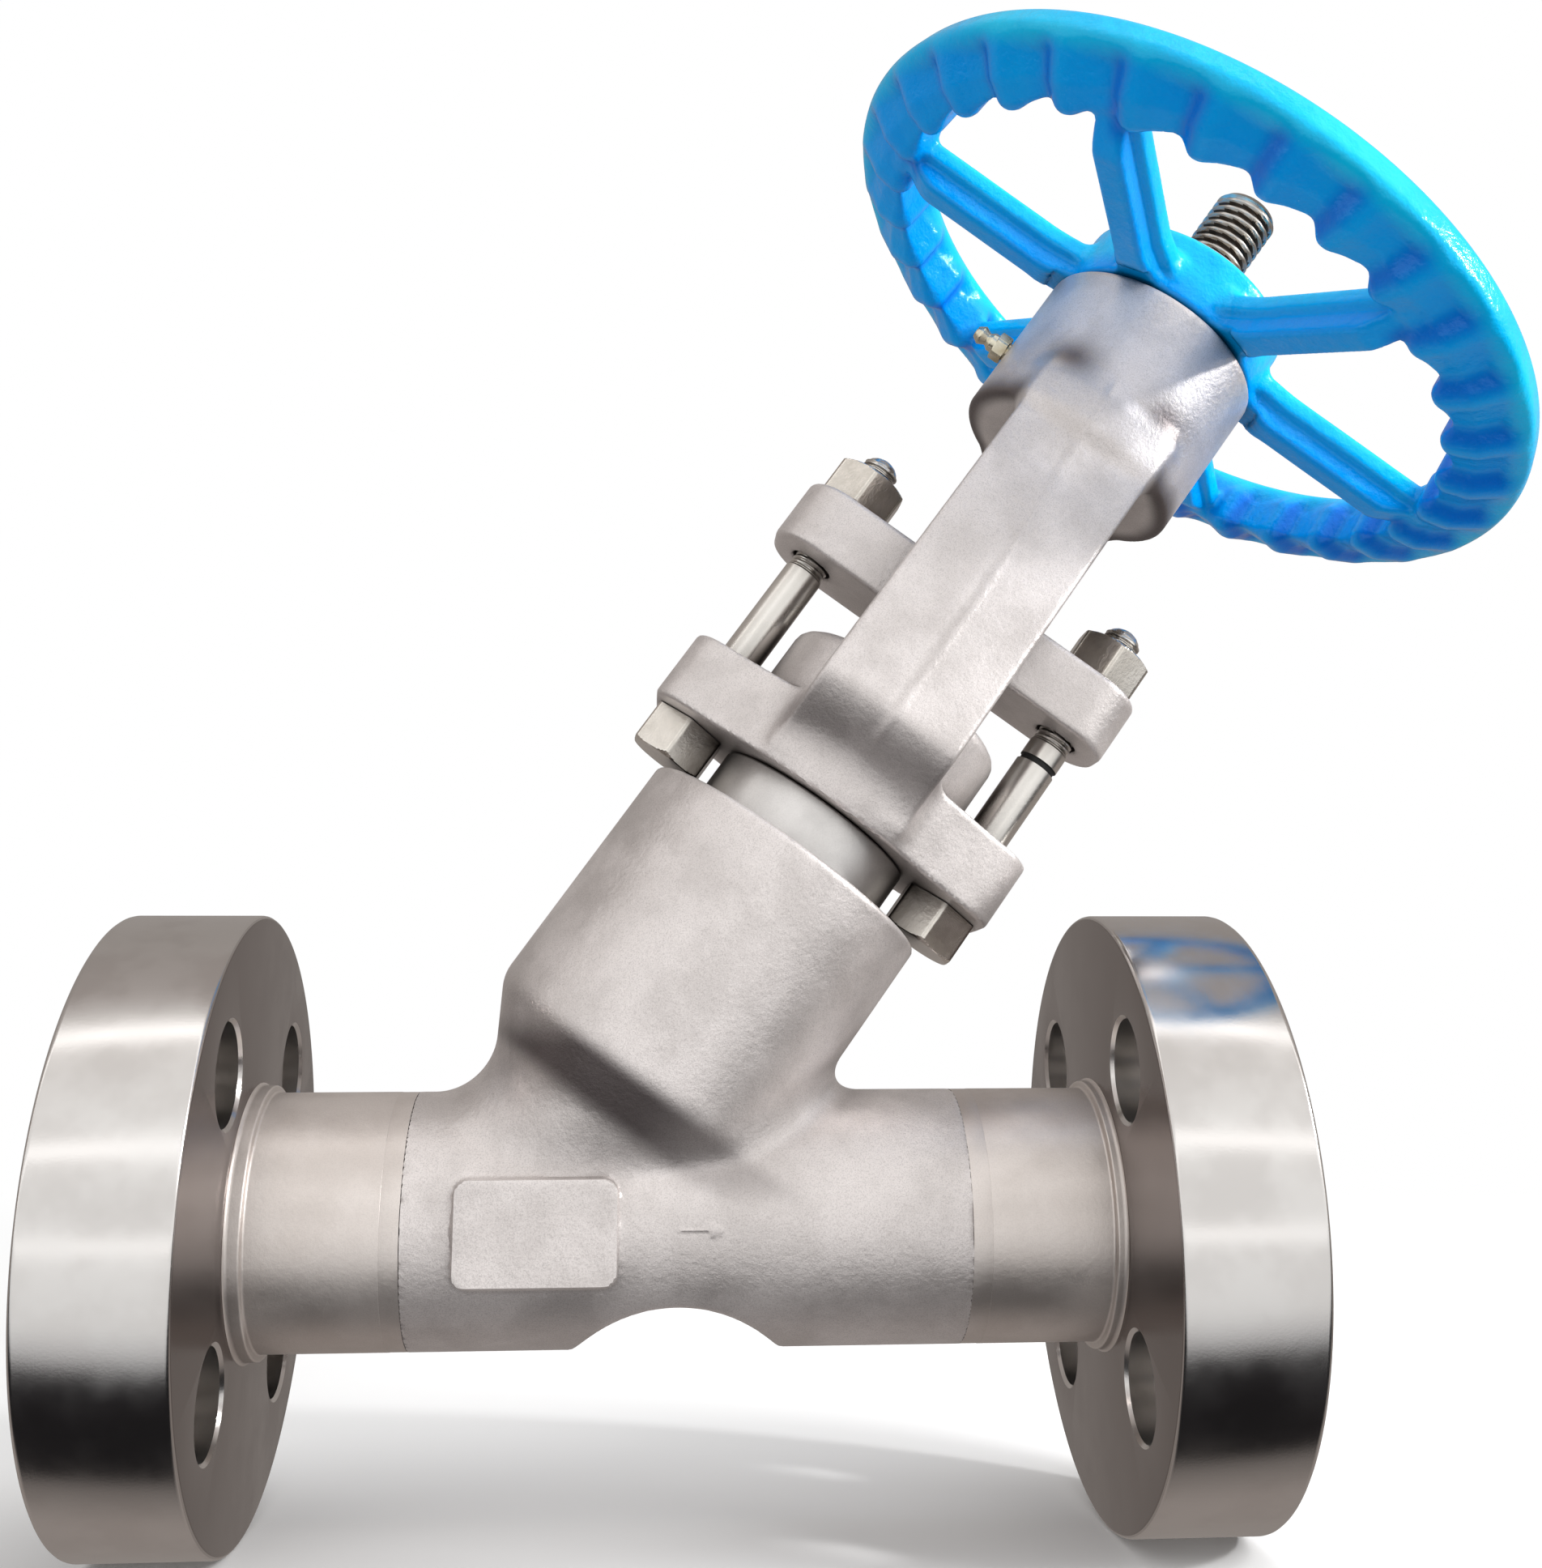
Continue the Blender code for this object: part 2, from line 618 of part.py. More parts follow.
def build_hub_parts():
    """What the yoke hub holds: stem nut sleeve, bearings, retainer, screw and grease nipple."""
    bore = STEM_RADIUS + GAP
    sleeve = revolve(
        "yoke_sleeve",
        [
            (SLEEVE_THREAD_RADIUS, SLEEVE_TOP),
            (SLEEVE_THREAD_RADIUS, SLEEVE_SHOULDER),
            (SLEEVE_RADIUS, SLEEVE_SHOULDER),
            (SLEEVE_RADIUS, COLLAR_TOP),
            (COLLAR_RADIUS, COLLAR_TOP),
            (COLLAR_RADIUS, COLLAR_BOTTOM),
            (SLEEVE_RADIUS, COLLAR_BOTTOM),
            (SLEEVE_RADIUS, SLEEVE_BOTTOM),
            (bore, SLEEVE_BOTTOM),
            (bore, SLEEVE_TOP),
        ],
        STEM_FRAME,
        bronze,
    )
    cut(sleeve, block("sleeve_keyway", (-3 * MM, 12 * MM, 315 * MM), (3 * MM, 20 * MM, 331 * MM),
                      STEM_FRAME))
    outer = HUB_BORE - GAP
    inner = SLEEVE_RADIUS + 0.4 * MM
    tube("bearing_lower", outer, inner, HUB_SEAT + GAP, COLLAR_BOTTOM - GAP, STEM_FRAME, bright_steel)
    tube("bearing_upper", outer, inner, COLLAR_TOP + GAP, 299.2 * MM, STEM_FRAME, bright_steel)
    retainer = tube("sleeve_retainer", outer, inner, 299.5 * MM, 310.6 * MM, STEM_FRAME, steel)
    cut(retainer, rod("retainer_screw_seat", 3.3 * MM, 20.5 * MM, 30 * MM,
                      radial_frame(90, 305 * MM), None, 16))
    screw = rod("retainer_set_screw", 3 * MM, 20.8 * MM, 33.5 * MM, radial_frame(90, 305 * MM), steel,
                16)
    cut(screw, rod("set_screw_socket", 1.6 * MM, 31 * MM, 35 * MM, radial_frame(90, 305 * MM), None, 6))
    nipple_frame = radial_frame(180, 284 * MM)
    nipple = revolve(
        "grease_nipple",
        [
            (0, 46 * MM),
            (1.6 * MM, 45.6 * MM),
            (2.9 * MM, 43.6 * MM),
            (1.9 * MM, 41.4 * MM),
            (2.8 * MM, 40.4 * MM),
            (2.8 * MM, 36 * MM),
            (3 * MM, 36 * MM),
            (3 * MM, 26 * MM),
            (0, 26 * MM),
        ],
        nipple_frame,
        brass,
        16,
    )
    join(nipple, rod("nipple_hex", 4.6 * MM, 34.9 * MM, 38.6 * MM, nipple_frame, None, 6))


def rim_section(angle, crest):
    """The rim's outline at an angle, lower and wider on a flute's crest than in its valley."""
    drop = 0 if crest else FLUTE_DEPTH
    outline = [
        (103 * MM, 335.5 * MM),
        (110 * MM, 333.0 * MM),
        (WHEEL_RADIUS, 327.5 * MM),
        (113 * MM, 322.0 * MM),
        (108 * MM, 317.5 * MM + drop),
        (100 * MM, 313.5 * MM + drop),
        (93.5 * MM, 312.5 * MM + drop),
        (90.6 * MM + 0.5 * drop, 315.5 * MM + drop),
        (91.5 * MM, 325.0 * MM),
        (96 * MM, 332.5 * MM),
    ]
    return [(r * math.cos(angle), r * math.sin(angle), h) for r, h in outline]


def spoke_section(reach, bottom, half_width):
    return [
        (reach, -half_width, bottom),
        (reach, half_width, bottom),
        (reach, half_width - 1 * MM, SPOKE_TOP),
        (reach, -half_width + 1 * MM, SPOKE_TOP),
    ]


def build_handwheel():
    count = 2 * FLUTES
    sections = [
        rim_section(WHEEL_PHASE + 2 * math.pi * i / count, i % 2 == 1) for i in range(count)
    ]
    wheel = loft("handwheel", sections, STEM_FRAME, blue_paint, ring=True)
    top = WHEEL_HUB_TOP
    hub = revolve(
        "handwheel_hub",
        [
            (0, top),
            (WHEEL_HUB_RADIUS - 3 * MM, top),
            (WHEEL_HUB_RADIUS - 1 * MM, top - 2 * MM),
            (WHEEL_HUB_RADIUS, WHEEL_BOTTOM + 2 * MM),
            (WHEEL_HUB_RADIUS - 2 * MM, WHEEL_BOTTOM),
            (0, WHEEL_BOTTOM),
        ],
        STEM_FRAME,
    )
    join(wheel, hub)
    half = SPOKE_WIDTH / 2
    for i in range(SPOKES):
        turn = Matrix.Rotation(WHEEL_PHASE + 2 * math.pi * i / SPOKES, 4, "Z")
        sections = [
            spoke_section(26 * MM, WHEEL_BOTTOM + 1 * MM, half + 2 * MM),
            spoke_section(35.5 * MM, WHEEL_BOTTOM + 0.4 * MM, half + 1.5 * MM),
            spoke_section(42 * MM, SPOKE_BOTTOM + 0.8 * MM, half),
            spoke_section(96 * MM, SPOKE_BOTTOM + 1.6 * MM, half),
        ]
        join(wheel, loft(f"handwheel_spoke_{i + 1}", sections, STEM_FRAME @ turn))
    cut(
        wheel,
        rod("handwheel_bore", SLEEVE_RADIUS + GAP, 300 * MM, 340 * MM, STEM_FRAME),
        block("handwheel_keyway", (-3 * MM, 0, 300 * MM), (3 * MM, 17 * MM, 340 * MM), STEM_FRAME),
    )
    block("handwheel_key", (-2.7 * MM, 12.3 * MM, 315.4 * MM), (2.7 * MM, 16.7 * MM, 330.6 * MM),
          STEM_FRAME, steel)
    inner = SLEEVE_THREAD_RADIUS + 0.4 * MM
    tube("handwheel_washer", 28 * MM, inner, top + GAP, top + 2.7 * MM, STEM_FRAME, bright_steel)
    across_corners = WHEEL_NUT_FLATS / math.cos(math.pi / 6)
    nut = rod("handwheel_nut", across_corners / 2, top + 3 * MM, WHEEL_NUT_TOP, STEM_FRAME,
              bright_steel, 6)
    cut(nut, rod("handwheel_nut_bore", inner, 330 * MM, 350 * MM, STEM_FRAME))


def build_stem_guide():
    """The plate clamped on the stem whose ends run along the yoke legs."""
    guide = block("stem_guide", (-15 * MM, -17.8 * MM, 234 * MM), (15 * MM, 17.8 * MM, 244 * MM),
                  STEM_FRAME, steel)
    screw_frame = radial_frame(90, 239 * MM)
    cut(
        guide,
        rod("guide_bore", STEM_RADIUS + GAP, 230 * MM, 250 * MM, STEM_FRAME),
        rod("guide_screw_hole", 2.8 * MM, 5 * MM, 25 * MM, screw_frame, None, 16),
    )
    screw = rod("stem_guide_screw", 2.5 * MM, STEM_RADIUS + 0.4 * MM, 17.2 * MM, screw_frame, steel, 16)
    cut(screw, rod("guide_screw_socket", 1.3 * MM, 15 * MM, 20 * MM, screw_frame, None, 6))


clear_scene()
valve = make_collection("globe_valve")
helpers = make_collection("cutters")
helpers.hide_render = True
forged_steel = make_material("forged_stainless", (0.60, 0.57, 0.55), 0.85, 0.5)
weld_metal = make_material("weld_metal", (0.58, 0.55, 0.52), 0.9, 0.4)
steel = make_material("turned_stainless", (0.62, 0.61, 0.60), 1.0, 0.3)
bright_steel = make_material("bright_stainless", (0.72, 0.71, 0.69), 1.0, 0.25)
hard_face = make_material("hard_facing", (0.55, 0.56, 0.58), 1.0, 0.2)
graphite = make_material("graphite", (0.05, 0.05, 0.055), 0.0, 0.6)
bronze = make_material("bronze", (0.60, 0.40, 0.18), 1.0, 0.35)
brass = make_material("plated_brass", (0.70, 0.62, 0.42), 1.0, 0.3)
blue_paint = make_material("blue_paint", (0.0, 0.45, 0.85), 0.0, 0.3)

build_flange("inlet_flange", 0.0, 1)
build_flange("outlet_flange", FACE_TO_FACE, -1)
build_weld("inlet_weld", INLET_WELD_AT)
build_weld("outlet_weld", OUTLET_WELD_AT)
build_body()
build_trim()
build_bonnet()
build_gland_flange()
build_gland_bolts()
build_yoke()
build_hub_parts()
build_handwheel()
build_stem_guide()
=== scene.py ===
"""Looks of the Y-pattern globe valve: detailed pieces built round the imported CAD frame.

Lengths here are in millimetres until a mesh is made, and in metres in materials, lights
and the camera. Two local frames are used: the stem frame, whose Z runs up the stem from
the point where it crosses the pipe's axis, and the pipe frame, whose Z runs along the pipe
from the inlet's sealing face. In a field, p, y and s are a place in the stem frame.
"""

import json
import math

import bmesh
import bpy
import numpy as np
import openvdb
from mathutils import Matrix, Vector


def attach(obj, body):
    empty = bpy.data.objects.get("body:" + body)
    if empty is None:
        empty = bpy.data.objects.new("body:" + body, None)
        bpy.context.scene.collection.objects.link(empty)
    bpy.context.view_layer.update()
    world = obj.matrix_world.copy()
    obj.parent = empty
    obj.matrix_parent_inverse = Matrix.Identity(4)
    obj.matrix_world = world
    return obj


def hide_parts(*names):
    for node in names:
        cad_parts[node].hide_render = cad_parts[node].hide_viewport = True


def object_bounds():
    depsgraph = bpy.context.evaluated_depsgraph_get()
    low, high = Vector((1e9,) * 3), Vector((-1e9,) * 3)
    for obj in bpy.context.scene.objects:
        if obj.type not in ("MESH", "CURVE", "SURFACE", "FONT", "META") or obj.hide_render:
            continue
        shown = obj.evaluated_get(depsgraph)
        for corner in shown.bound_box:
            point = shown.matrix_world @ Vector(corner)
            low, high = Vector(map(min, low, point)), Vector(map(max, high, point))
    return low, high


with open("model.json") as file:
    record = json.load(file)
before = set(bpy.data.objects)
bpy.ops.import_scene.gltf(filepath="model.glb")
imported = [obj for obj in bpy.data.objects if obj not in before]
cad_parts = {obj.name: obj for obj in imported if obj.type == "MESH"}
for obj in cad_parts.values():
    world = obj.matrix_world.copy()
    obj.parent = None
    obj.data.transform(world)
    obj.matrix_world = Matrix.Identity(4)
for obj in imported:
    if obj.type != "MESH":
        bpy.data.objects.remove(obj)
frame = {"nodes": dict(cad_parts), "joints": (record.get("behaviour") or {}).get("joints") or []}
cad_low, cad_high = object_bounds()

MM = 0.001
MIDDLE = (cad_low + cad_high) / 2
SPIN = next(joint for joint in frame["joints"] if joint["name"] == "handwheel_spin")
LEAN = math.atan2(SPIN["axis"][0], SPIN["axis"][2])
STEM = Matrix.Translation(SPIN["pos_m"]) @ Matrix.Rotation(LEAN, 4, "Y")
PIPE = Matrix.Rotation(math.pi / 2, 4, "Y")
WORLD = Matrix.Identity(4)


# ---------------------------------------------------------------- sizes from the CAD nodes


def extent(node, space):
    """Lowest and highest corner of a CAD node in a local frame, in millimetres."""
    inverse = space.inverted()
    points = np.array([inverse @ v.co for v in frame["nodes"][node].data.vertices]) / MM
    return points.min(0), points.max(0)


def heights(node):
    """Where a CAD node starts and ends up the stem, in millimetres."""
    low, high = extent(node, STEM)
    return float(low[2]), float(high[2])


# The pipe run, across it and along it from each flange's sealing face.
PIPE_RADIUS = 33.0
BORE_RADIUS = 9.5
CROSSING = SPIN["pos_m"][0] / MM
RAISED_FACE_RADIUS = 25.4
RAISED_FACE_HEIGHT = 6.4
FLANGE_BACK = 41.5
FLANGE_NECK_RADIUS = 34.9
STUD_CIRCLE_RADIUS = 54.0
STUD_HOLE_RADIUS = 13.0
BODY_LOW, BODY_HIGH = extent("body", WORLD)

# The neck, bonnet, yoke and gland, across the stem and up it.
NECK_RADIUS = 44.0
SHOULDER = 48.0
NECK_TOP = 119.0
BONNET_NECK_RADIUS = 24.5
STEM_BORE_RADIUS = 10.4
YOKE_LOW, YOKE_HIGH = extent("yoke", STEM)
BASE_BOTTOM, HUB_TOP = float(YOKE_LOW[2]), float(YOKE_HIGH[2])
BASE_HALF_LENGTH = float(YOKE_HIGH[0])
BASE_TOP = 155.0
HUB_RADIUS = 34.5
HUB_BOTTOM = 263.5
NIPPLE_HEIGHT = 284.0
SET_SCREW_HEIGHT = 305.0
GLAND_LOW, GLAND_HIGH = extent("gland_flange", STEM)
BOLT_OFFSET = 43.5
BOLT_HOLE_RADIUS = 6.5
BOLT_FLATS = 21.0
RING_BOTTOM, RING_TOP = 182.8, 184.7

# The stem, sleeve and handwheel.
STEM_RADIUS = 10.0
STEM_THREAD_BOTTOM = 245.5
SLEEVE_RADIUS = 14.0
SLEEVE_THREAD_RADIUS = 12.4
SLEEVE_SHOULDER = 332.2
WHEEL_NUT_BORE = 12.8
WHEEL_PHASE = math.radians(2.0)
FLUTES = 30
SPOKES = 6
RIM_CENTRE = (102.0, 324.0)
RIM_CORE = [
    (103.0, 331.0), (108.2, 327.3), (109.3, 323.5), (101.0, 317.8), (95.6, 316.6),
    (95.0, 325.0), (98.0, 330.0),
]


# ---------------------------------------------------------------- shapes as distance fields


def union(a, b, fillet):
    """Joins two solids, with a concave fillet of that radius where they meet."""
    near = np.minimum(a, b)
    corner = np.hypot(np.maximum(fillet - a, 0), np.maximum(fillet - b, 0))
    return np.maximum(fillet, near) - corner


def overlap(a, b, edge=0.0):
    """What two solids share, with the edge between them rounded."""
    far = np.maximum(a, b)
    corner = np.hypot(np.maximum(edge + a, 0), np.maximum(edge + b, 0))
    return np.minimum(-edge, far) + corner


def eased(a, b, reach):
    """What two solids share, where they meet at a shallow angle."""
    near = np.maximum(reach - np.abs(a - b), 0) / reach
    return np.maximum(a, b) + reach / 4 * near * near


def carve(a, b, edge):
    """The first solid less the second."""
    return overlap(a, -b, edge)


def without(solid, rooms):
    """A solid less a list of others, with sharp edges."""
    for room in rooms:
        solid = np.maximum(solid, -room)
    return solid


def slab(x, low, high):
    """What lies between two planes."""
    return np.maximum(low - x, x - high)


def oblong(x, y, half_length, half_width, corner):
    """Distance to a rectangle with round corners."""
    dx = np.abs(x) - half_length + corner
    dy = np.abs(y) - half_width + corner
    outside = np.hypot(np.maximum(dx, 0), np.maximum(dy, 0))
    return outside + np.minimum(np.maximum(dx, dy), 0) - corner


def polygon(x, y, corners, grow):
    """Distance to a convex outline, grown by a radius so that its corners are round."""
    best = None
    inside = None
    for (ax, ay), (bx, by) in zip(corners, corners[1:] + corners[:1]):
        ex, ey = bx - ax, by - ay
        length = math.hypot(ex, ey)
        wx, wy = x - ax, y - ay
        along = np.clip((wx * ex + wy * ey) / length**2, 0, 1)
        gap = np.hypot(wx - ex * along, wy - ey * along)
        side = (wx * ey - wy * ex) / length
        best = gap if best is None else np.minimum(best, gap)
        inside = side if inside is None else np.maximum(inside, side)
    return np.where(inside < 0, -best, best) - grow


def smooth(x, low, high):
    """Rises from 0 at low to 1 at high."""
    t = np.clip((x - low) / (high - low), 0, 1)
    return t * t * (3 - 2 * t)


def capsule(x, y, z, start, end, radius):
    """A round bar between two points."""
    (ax, ay, az), (bx, by, bz) = start, end
    ex, ey, ez = bx - ax, by - ay, bz - az
    share = ((x - ax) * ex + (y - ay) * ey + (z - az) * ez) / (ex**2 + ey**2 + ez**2)
    share = np.clip(share, 0, 1)
    gap = (x - ax - ex * share) ** 2 + (y - ay - ey * share) ** 2 + (z - az - ez * share) ** 2
    return np.sqrt(gap) - radius


def mesh_from_field(name, field, low, high, step):
    """Meshes a distance field, then moves each vertex onto the exact surface."""
    low = np.array(low, float) - 2 * step
    counts = np.ceil((np.array(high, float) + 2 * step - low) / step).astype(int) + 1
    axes = [low[i] + step * np.arange(counts[i]) for i in range(3)]
    x, y, z = np.meshgrid(*axes, indexing="ij", sparse=True)
    values = np.clip(field(x, y, z), -4 * step, 4 * step).astype(np.float32)
    volume = openvdb.FloatGrid(4 * step)
    volume.copyFromArray(np.array(np.broadcast_to(values, tuple(counts))))
    points, quads = volume.convertToQuads(isovalue=0)
    points = low + np.asarray(points, float) * step
    for _ in range(3):
        points = points + onto_surface(field, points, 0.6 * step)
    mesh = bpy.data.meshes.new(name)
    mesh.from_pydata((points * MM).tolist(), [], np.asarray(quads).tolist())
    face_outwards(mesh)
    return mesh


def mark(mesh, name, shade):
    """Stores shade(x, y, z), in the mesh's own millimetres, on each vertex for a material."""
    points = np.empty(len(mesh.vertices) * 3, np.float32)
    mesh.vertices.foreach_get("co", points)
    values = shade(*(points.reshape(-1, 3).T / MM)).astype(np.float32)
    mesh.attributes.new(name, "FLOAT", "POINT").data.foreach_set("value", values)


def onto_surface(field, points, furthest):
    """The move, no longer than furthest, that takes each point onto the field's surface."""
    x, y, z = points.T
    reach = 0.02
    value = field(x, y, z)
    slope = np.stack(
        [
            field(x + reach, y, z) - field(x - reach, y, z),
            field(x, y + reach, z) - field(x, y - reach, z),
            field(x, y, z + reach) - field(x, y, z - reach),
        ],
        axis=1,
    ) / (2 * reach)
    steep = np.maximum((slope**2).sum(1), 0.05)
    move = -(value / steep)[:, None] * slope
    size = np.maximum(np.linalg.norm(move, axis=1), 1e-9)
    return move * np.minimum(1, furthest / size)[:, None]


def face_outwards(mesh):
    """Joins doubled vertices and turns every face outwards."""
    shape = bmesh.new()
    shape.from_mesh(mesh)
    bmesh.ops.remove_doubles(shape, verts=shape.verts, dist=1e-7)
    bmesh.ops.recalc_face_normals(shape, faces=shape.faces)
    if shape.calc_volume(signed=True) < 0:
        bmesh.ops.reverse_faces(shape, faces=shape.faces)
    shape.to_mesh(mesh)
    shape.free()


# ---------------------------------------------------------------- turned and hexagonal shapes


CORNER_RADIUS = 0.4
CORNER_STEPS = 4


def rounded(profile, radius, closed):
    """A (radius, height) outline with each corner turned into an arc. A third number on a
    point is that corner's own radius."""
    points = []
    count = len(profile)
    for i, corner in enumerate(profile):
        here = Vector(corner[:2])
        size = corner[2] if len(corner) > 2 else radius
        if size <= 0 or (not closed and i in (0, count - 1)):
            points.append(tuple(here))
            continue
        before = Vector(profile[i - 1][:2]) - here
        after = Vector(profile[(i + 1) % count][:2]) - here
        half = before.angle(after) / 2
        if half > math.radians(89):
            points.append(tuple(here))
            continue
        reach = min(size / math.tan(half), 0.45 * before.length, 0.45 * after.length)
        size = reach * math.tan(half)
        middle = (before.normalized() + after.normalized()).normalized()
        centre = here + middle * size / math.sin(half)
        start = here + before.normalized() * reach - centre
        end = here + after.normalized() * reach - centre
        turn = math.atan2(start.x * end.y - start.y * end.x, start.dot(end))
        for k in range(CORNER_STEPS + 1):
            angle = turn * k / CORNER_STEPS
            c, s = math.cos(angle), math.sin(angle)
            across = centre.x + start.x * c - start.y * s
            up = centre.y + start.x * s + start.y * c
            points.append((across, up))
    return points


def swept(name, rows, steps, closed=True):
    """Rows of (radius, height) round local Z. Either may be an array with a value a step."""
    angles = np.arange(steps) * 2 * np.pi / steps
    rings = []
    for radius, height in rows:
        radius = np.broadcast_to(radius, steps)
        height = np.broadcast_to(height, steps)
        rings.append(np.stack([radius * np.cos(angles), radius * np.sin(angles), height], 1))
    around = np.arange(steps)
    onward = np.roll(around, -1)
    faces = []
    count = len(rings)
    for i in range(count if closed else count - 1):
        near, far = i * steps, (i + 1) % count * steps
        faces.append(np.stack([near + around, near + onward, far + onward, far + around], 1))
    mesh = bpy.data.meshes.new(name)
    mesh.from_pydata((np.concatenate(rings) * MM).tolist(), [], np.concatenate(faces).tolist())
    face_outwards(mesh)
    return mesh


def turned(name, profile, steps=144):
    """A turned piece. An outline that starts and ends on the axis isn't closed by a bore."""
    closed = profile[0][0] > 0
    return swept(name, rounded(profile, CORNER_RADIUS, closed), steps, closed)


def hexagon(name, flats, bottom, top, bore, chamfer_top=True):
    """A hexagon with 30 degree chamfers and a countersunk bore, or solid if bore is 0."""
    steps = 216
    angles = np.arange(steps) * 2 * np.pi / steps
    wide = flats / 2 / np.cos((angles + np.pi / 6) % (np.pi / 3) - np.pi / 6)
    wide = np.minimum(wide, flats / 2 / math.cos(math.pi / 6) - 0.25)
    start = flats / 2 * 0.985
    slope = 1 / math.tan(math.radians(30))
    depths = [0.0, 0.25, 0.5, 0.75, 1.0, 1.3, 1.7, 2.2]
    rows = []
    for depth in depths:
        rows.append((np.minimum(wide, start + slope * depth), bottom + depth))
    for depth in reversed(depths if chamfer_top else [0.0, 0.3]):
        limit = start + slope * depth if chamfer_top else 1e3
        rows.append((np.minimum(wide, limit), top - depth))
    if bore:
        rows += [(bore + 0.9, top), (bore, top - 0.9), (bore, bottom + 0.9), (bore + 0.9, bottom)]
        return swept(name, rows, steps)
    rows = [(0.0, bottom)] + rows + [(0.0, top)]
    return swept(name, rows, steps, closed=False)


def thread_rows(radius, depth, pitch, bottom, top, steps, rows_per_turn):
    """Rows of a single-start trapezoidal thread, fading out at both ends."""
    turns = np.arange(steps) / steps
    rows = []
    count = int(round((top - bottom) / pitch * rows_per_turn))
    for i in range(count + 1):
        height = bottom + (top - bottom) * i / count
        phase = (height / pitch - turns) % 1
        tooth = np.clip(np.abs(phase - 0.5) * 4 - 0.5, 0, 1)
        fade = min(1.0, 2 * (height - bottom) / pitch, 2 * (top - height) / pitch)
        rows.append((radius - depth * fade * (1 - tooth), height))
    return rows


def with_cuts(mesh, cutters):
    """The mesh less each (mesh, frame) cutter."""
    target = bpy.data.objects.new("cut_target", mesh)
    bpy.context.scene.collection.objects.link(target)
    helpers = [target]
    for cutter_mesh, space in cutters:
        cutter = bpy.data.objects.new("cutter", cutter_mesh)
        cutter.matrix_world = space
        bpy.context.scene.collection.objects.link(cutter)
        modifier = target.modifiers.new("cut", "BOOLEAN")
        modifier.operation = "DIFFERENCE"
        modifier.solver = "EXACT"
        modifier.object = cutter
        helpers.append(cutter)
    graph = bpy.context.evaluated_depsgraph_get()
    result = bpy.data.meshes.new_from_object(target.evaluated_get(graph))
    for helper in helpers:
        bpy.data.objects.remove(helper)
    result.name = mesh.name
    return result


def place(name, mesh, space, body, nodes, material, sharp=38, second=None):
    """Adds a finished piece that rides on a body and stands for CAD nodes. second is another
    material and a test on a face's (radius, height) in millimetres that picks its faces."""
    mesh.shade_smooth()
    mesh.set_sharp_from_angle(angle=math.radians(sharp))
    mesh.materials.clear()
    mesh.materials.append(material)
    if second:
        mesh.materials.append(second[0])
        for face in mesh.polygons:
            x, y, z = face.center / MM
            face.material_index = int(second[1](math.hypot(x, y), z))
    piece = bpy.data.objects.new(name, mesh)
    bpy.context.scene.collection.objects.link(piece)
    piece.matrix_world = space
    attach(piece, body)
    if nodes:
        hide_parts(*nodes)
    return piece


# ---------------------------------------------------------------- materials


class Graph:
    """A node tree with short calls for adding nodes. A value may be a number or a socket."""

    def __init__(self, tree):
        self.tree = tree
        tree.nodes.clear()

    def node(self, kind, values=(), **settings):
        """Adds a node with values on its inputs and settings on the node itself."""
        node = self.tree.nodes.new(kind)
        for key, value in settings.items():
            setattr(node, key, value)
        for key, value in dict(values).items():
            self.put(node.inputs[key], value)
        return node

    def put(self, socket, value):
        """Links a socket to an input, or sets a number on it."""
        if isinstance(value, bpy.types.NodeSocket):
            self.tree.links.new(value, socket)
        elif value is not None:
            socket.default_value = value

    def math(self, operation, a, b=None, c=None):
        node = self.node("ShaderNodeMath", operation=operation)
        for socket, value in zip(node.inputs, (a, b, c)):
            self.put(socket, value)
        return node.outputs[0]

    def noise(self, vector, scale, detail, roughness):
        values = {"Vector": vector, "Scale": scale, "Detail": detail, "Roughness": roughness}
        return self.node("ShaderNodeTexNoise", values).outputs["Fac"]

    def between(self, value, low, high, start=0.0, end=1.0):
        """Maps a value from low..high to start..end, kept inside it."""
        values = {"Value": value, "From Min": low, "From Max": high, "To Min": start, "To Max": end}
        node = self.node("ShaderNodeMapRange", values, interpolation_type="SMOOTHSTEP")
        return node.outputs[0]

    def mix(self, share, a, b, blend="MIX"):
        """Goes from colour a to colour b as share goes from 0 to 1."""
        node = self.node("ShaderNodeMix", data_type="RGBA", blend_type=blend)
        self.put(node.inputs["Factor"], share)
        self.put(node.inputs["A"], a if isinstance(a, bpy.types.NodeSocket) else (*a, 1))
        self.put(node.inputs["B"], b if isinstance(b, bpy.types.NodeSocket) else (*b, 1))
        return [o for o in node.outputs if o.type == "RGBA"][0]

    def ramp(self, value, stops):
        """Colours by value, from (position, colour) stops."""
        node = self.node("ShaderNodeValToRGB", {"Fac": value})
        elements = node.color_ramp.elements
        while len(elements) < len(stops):
            elements.new(0.5)
        for element, (position, colour) in zip(elements, stops):
            element.position = position
            element.color = (*colour, 1)
        return node.outputs["Color"]

    def bump(self, height, distance, strength, normal=None):
        """Raises the surface by a height, on top of another bump's normal."""
        values = {"Height": height, "Distance": distance, "Strength": strength}
        node = self.node("ShaderNodeBump", values)
        if normal is not None:
            self.put(node.inputs["Normal"], normal)
        return node.outputs[0]

    def attribute(self, name):
        """A value that mark() stored on the mesh."""
        return self.node("ShaderNodeAttribute", attribute_name=name).outputs["Fac"]

    def coordinates(self):
        return self.node("ShaderNodeTexCoord").outputs["Object"]


def new_material(name):
    """A material and the empty graph that builds it."""
    material = bpy.data.materials.new(name)
    material.use_nodes = True
    return material, Graph(material.node_tree)


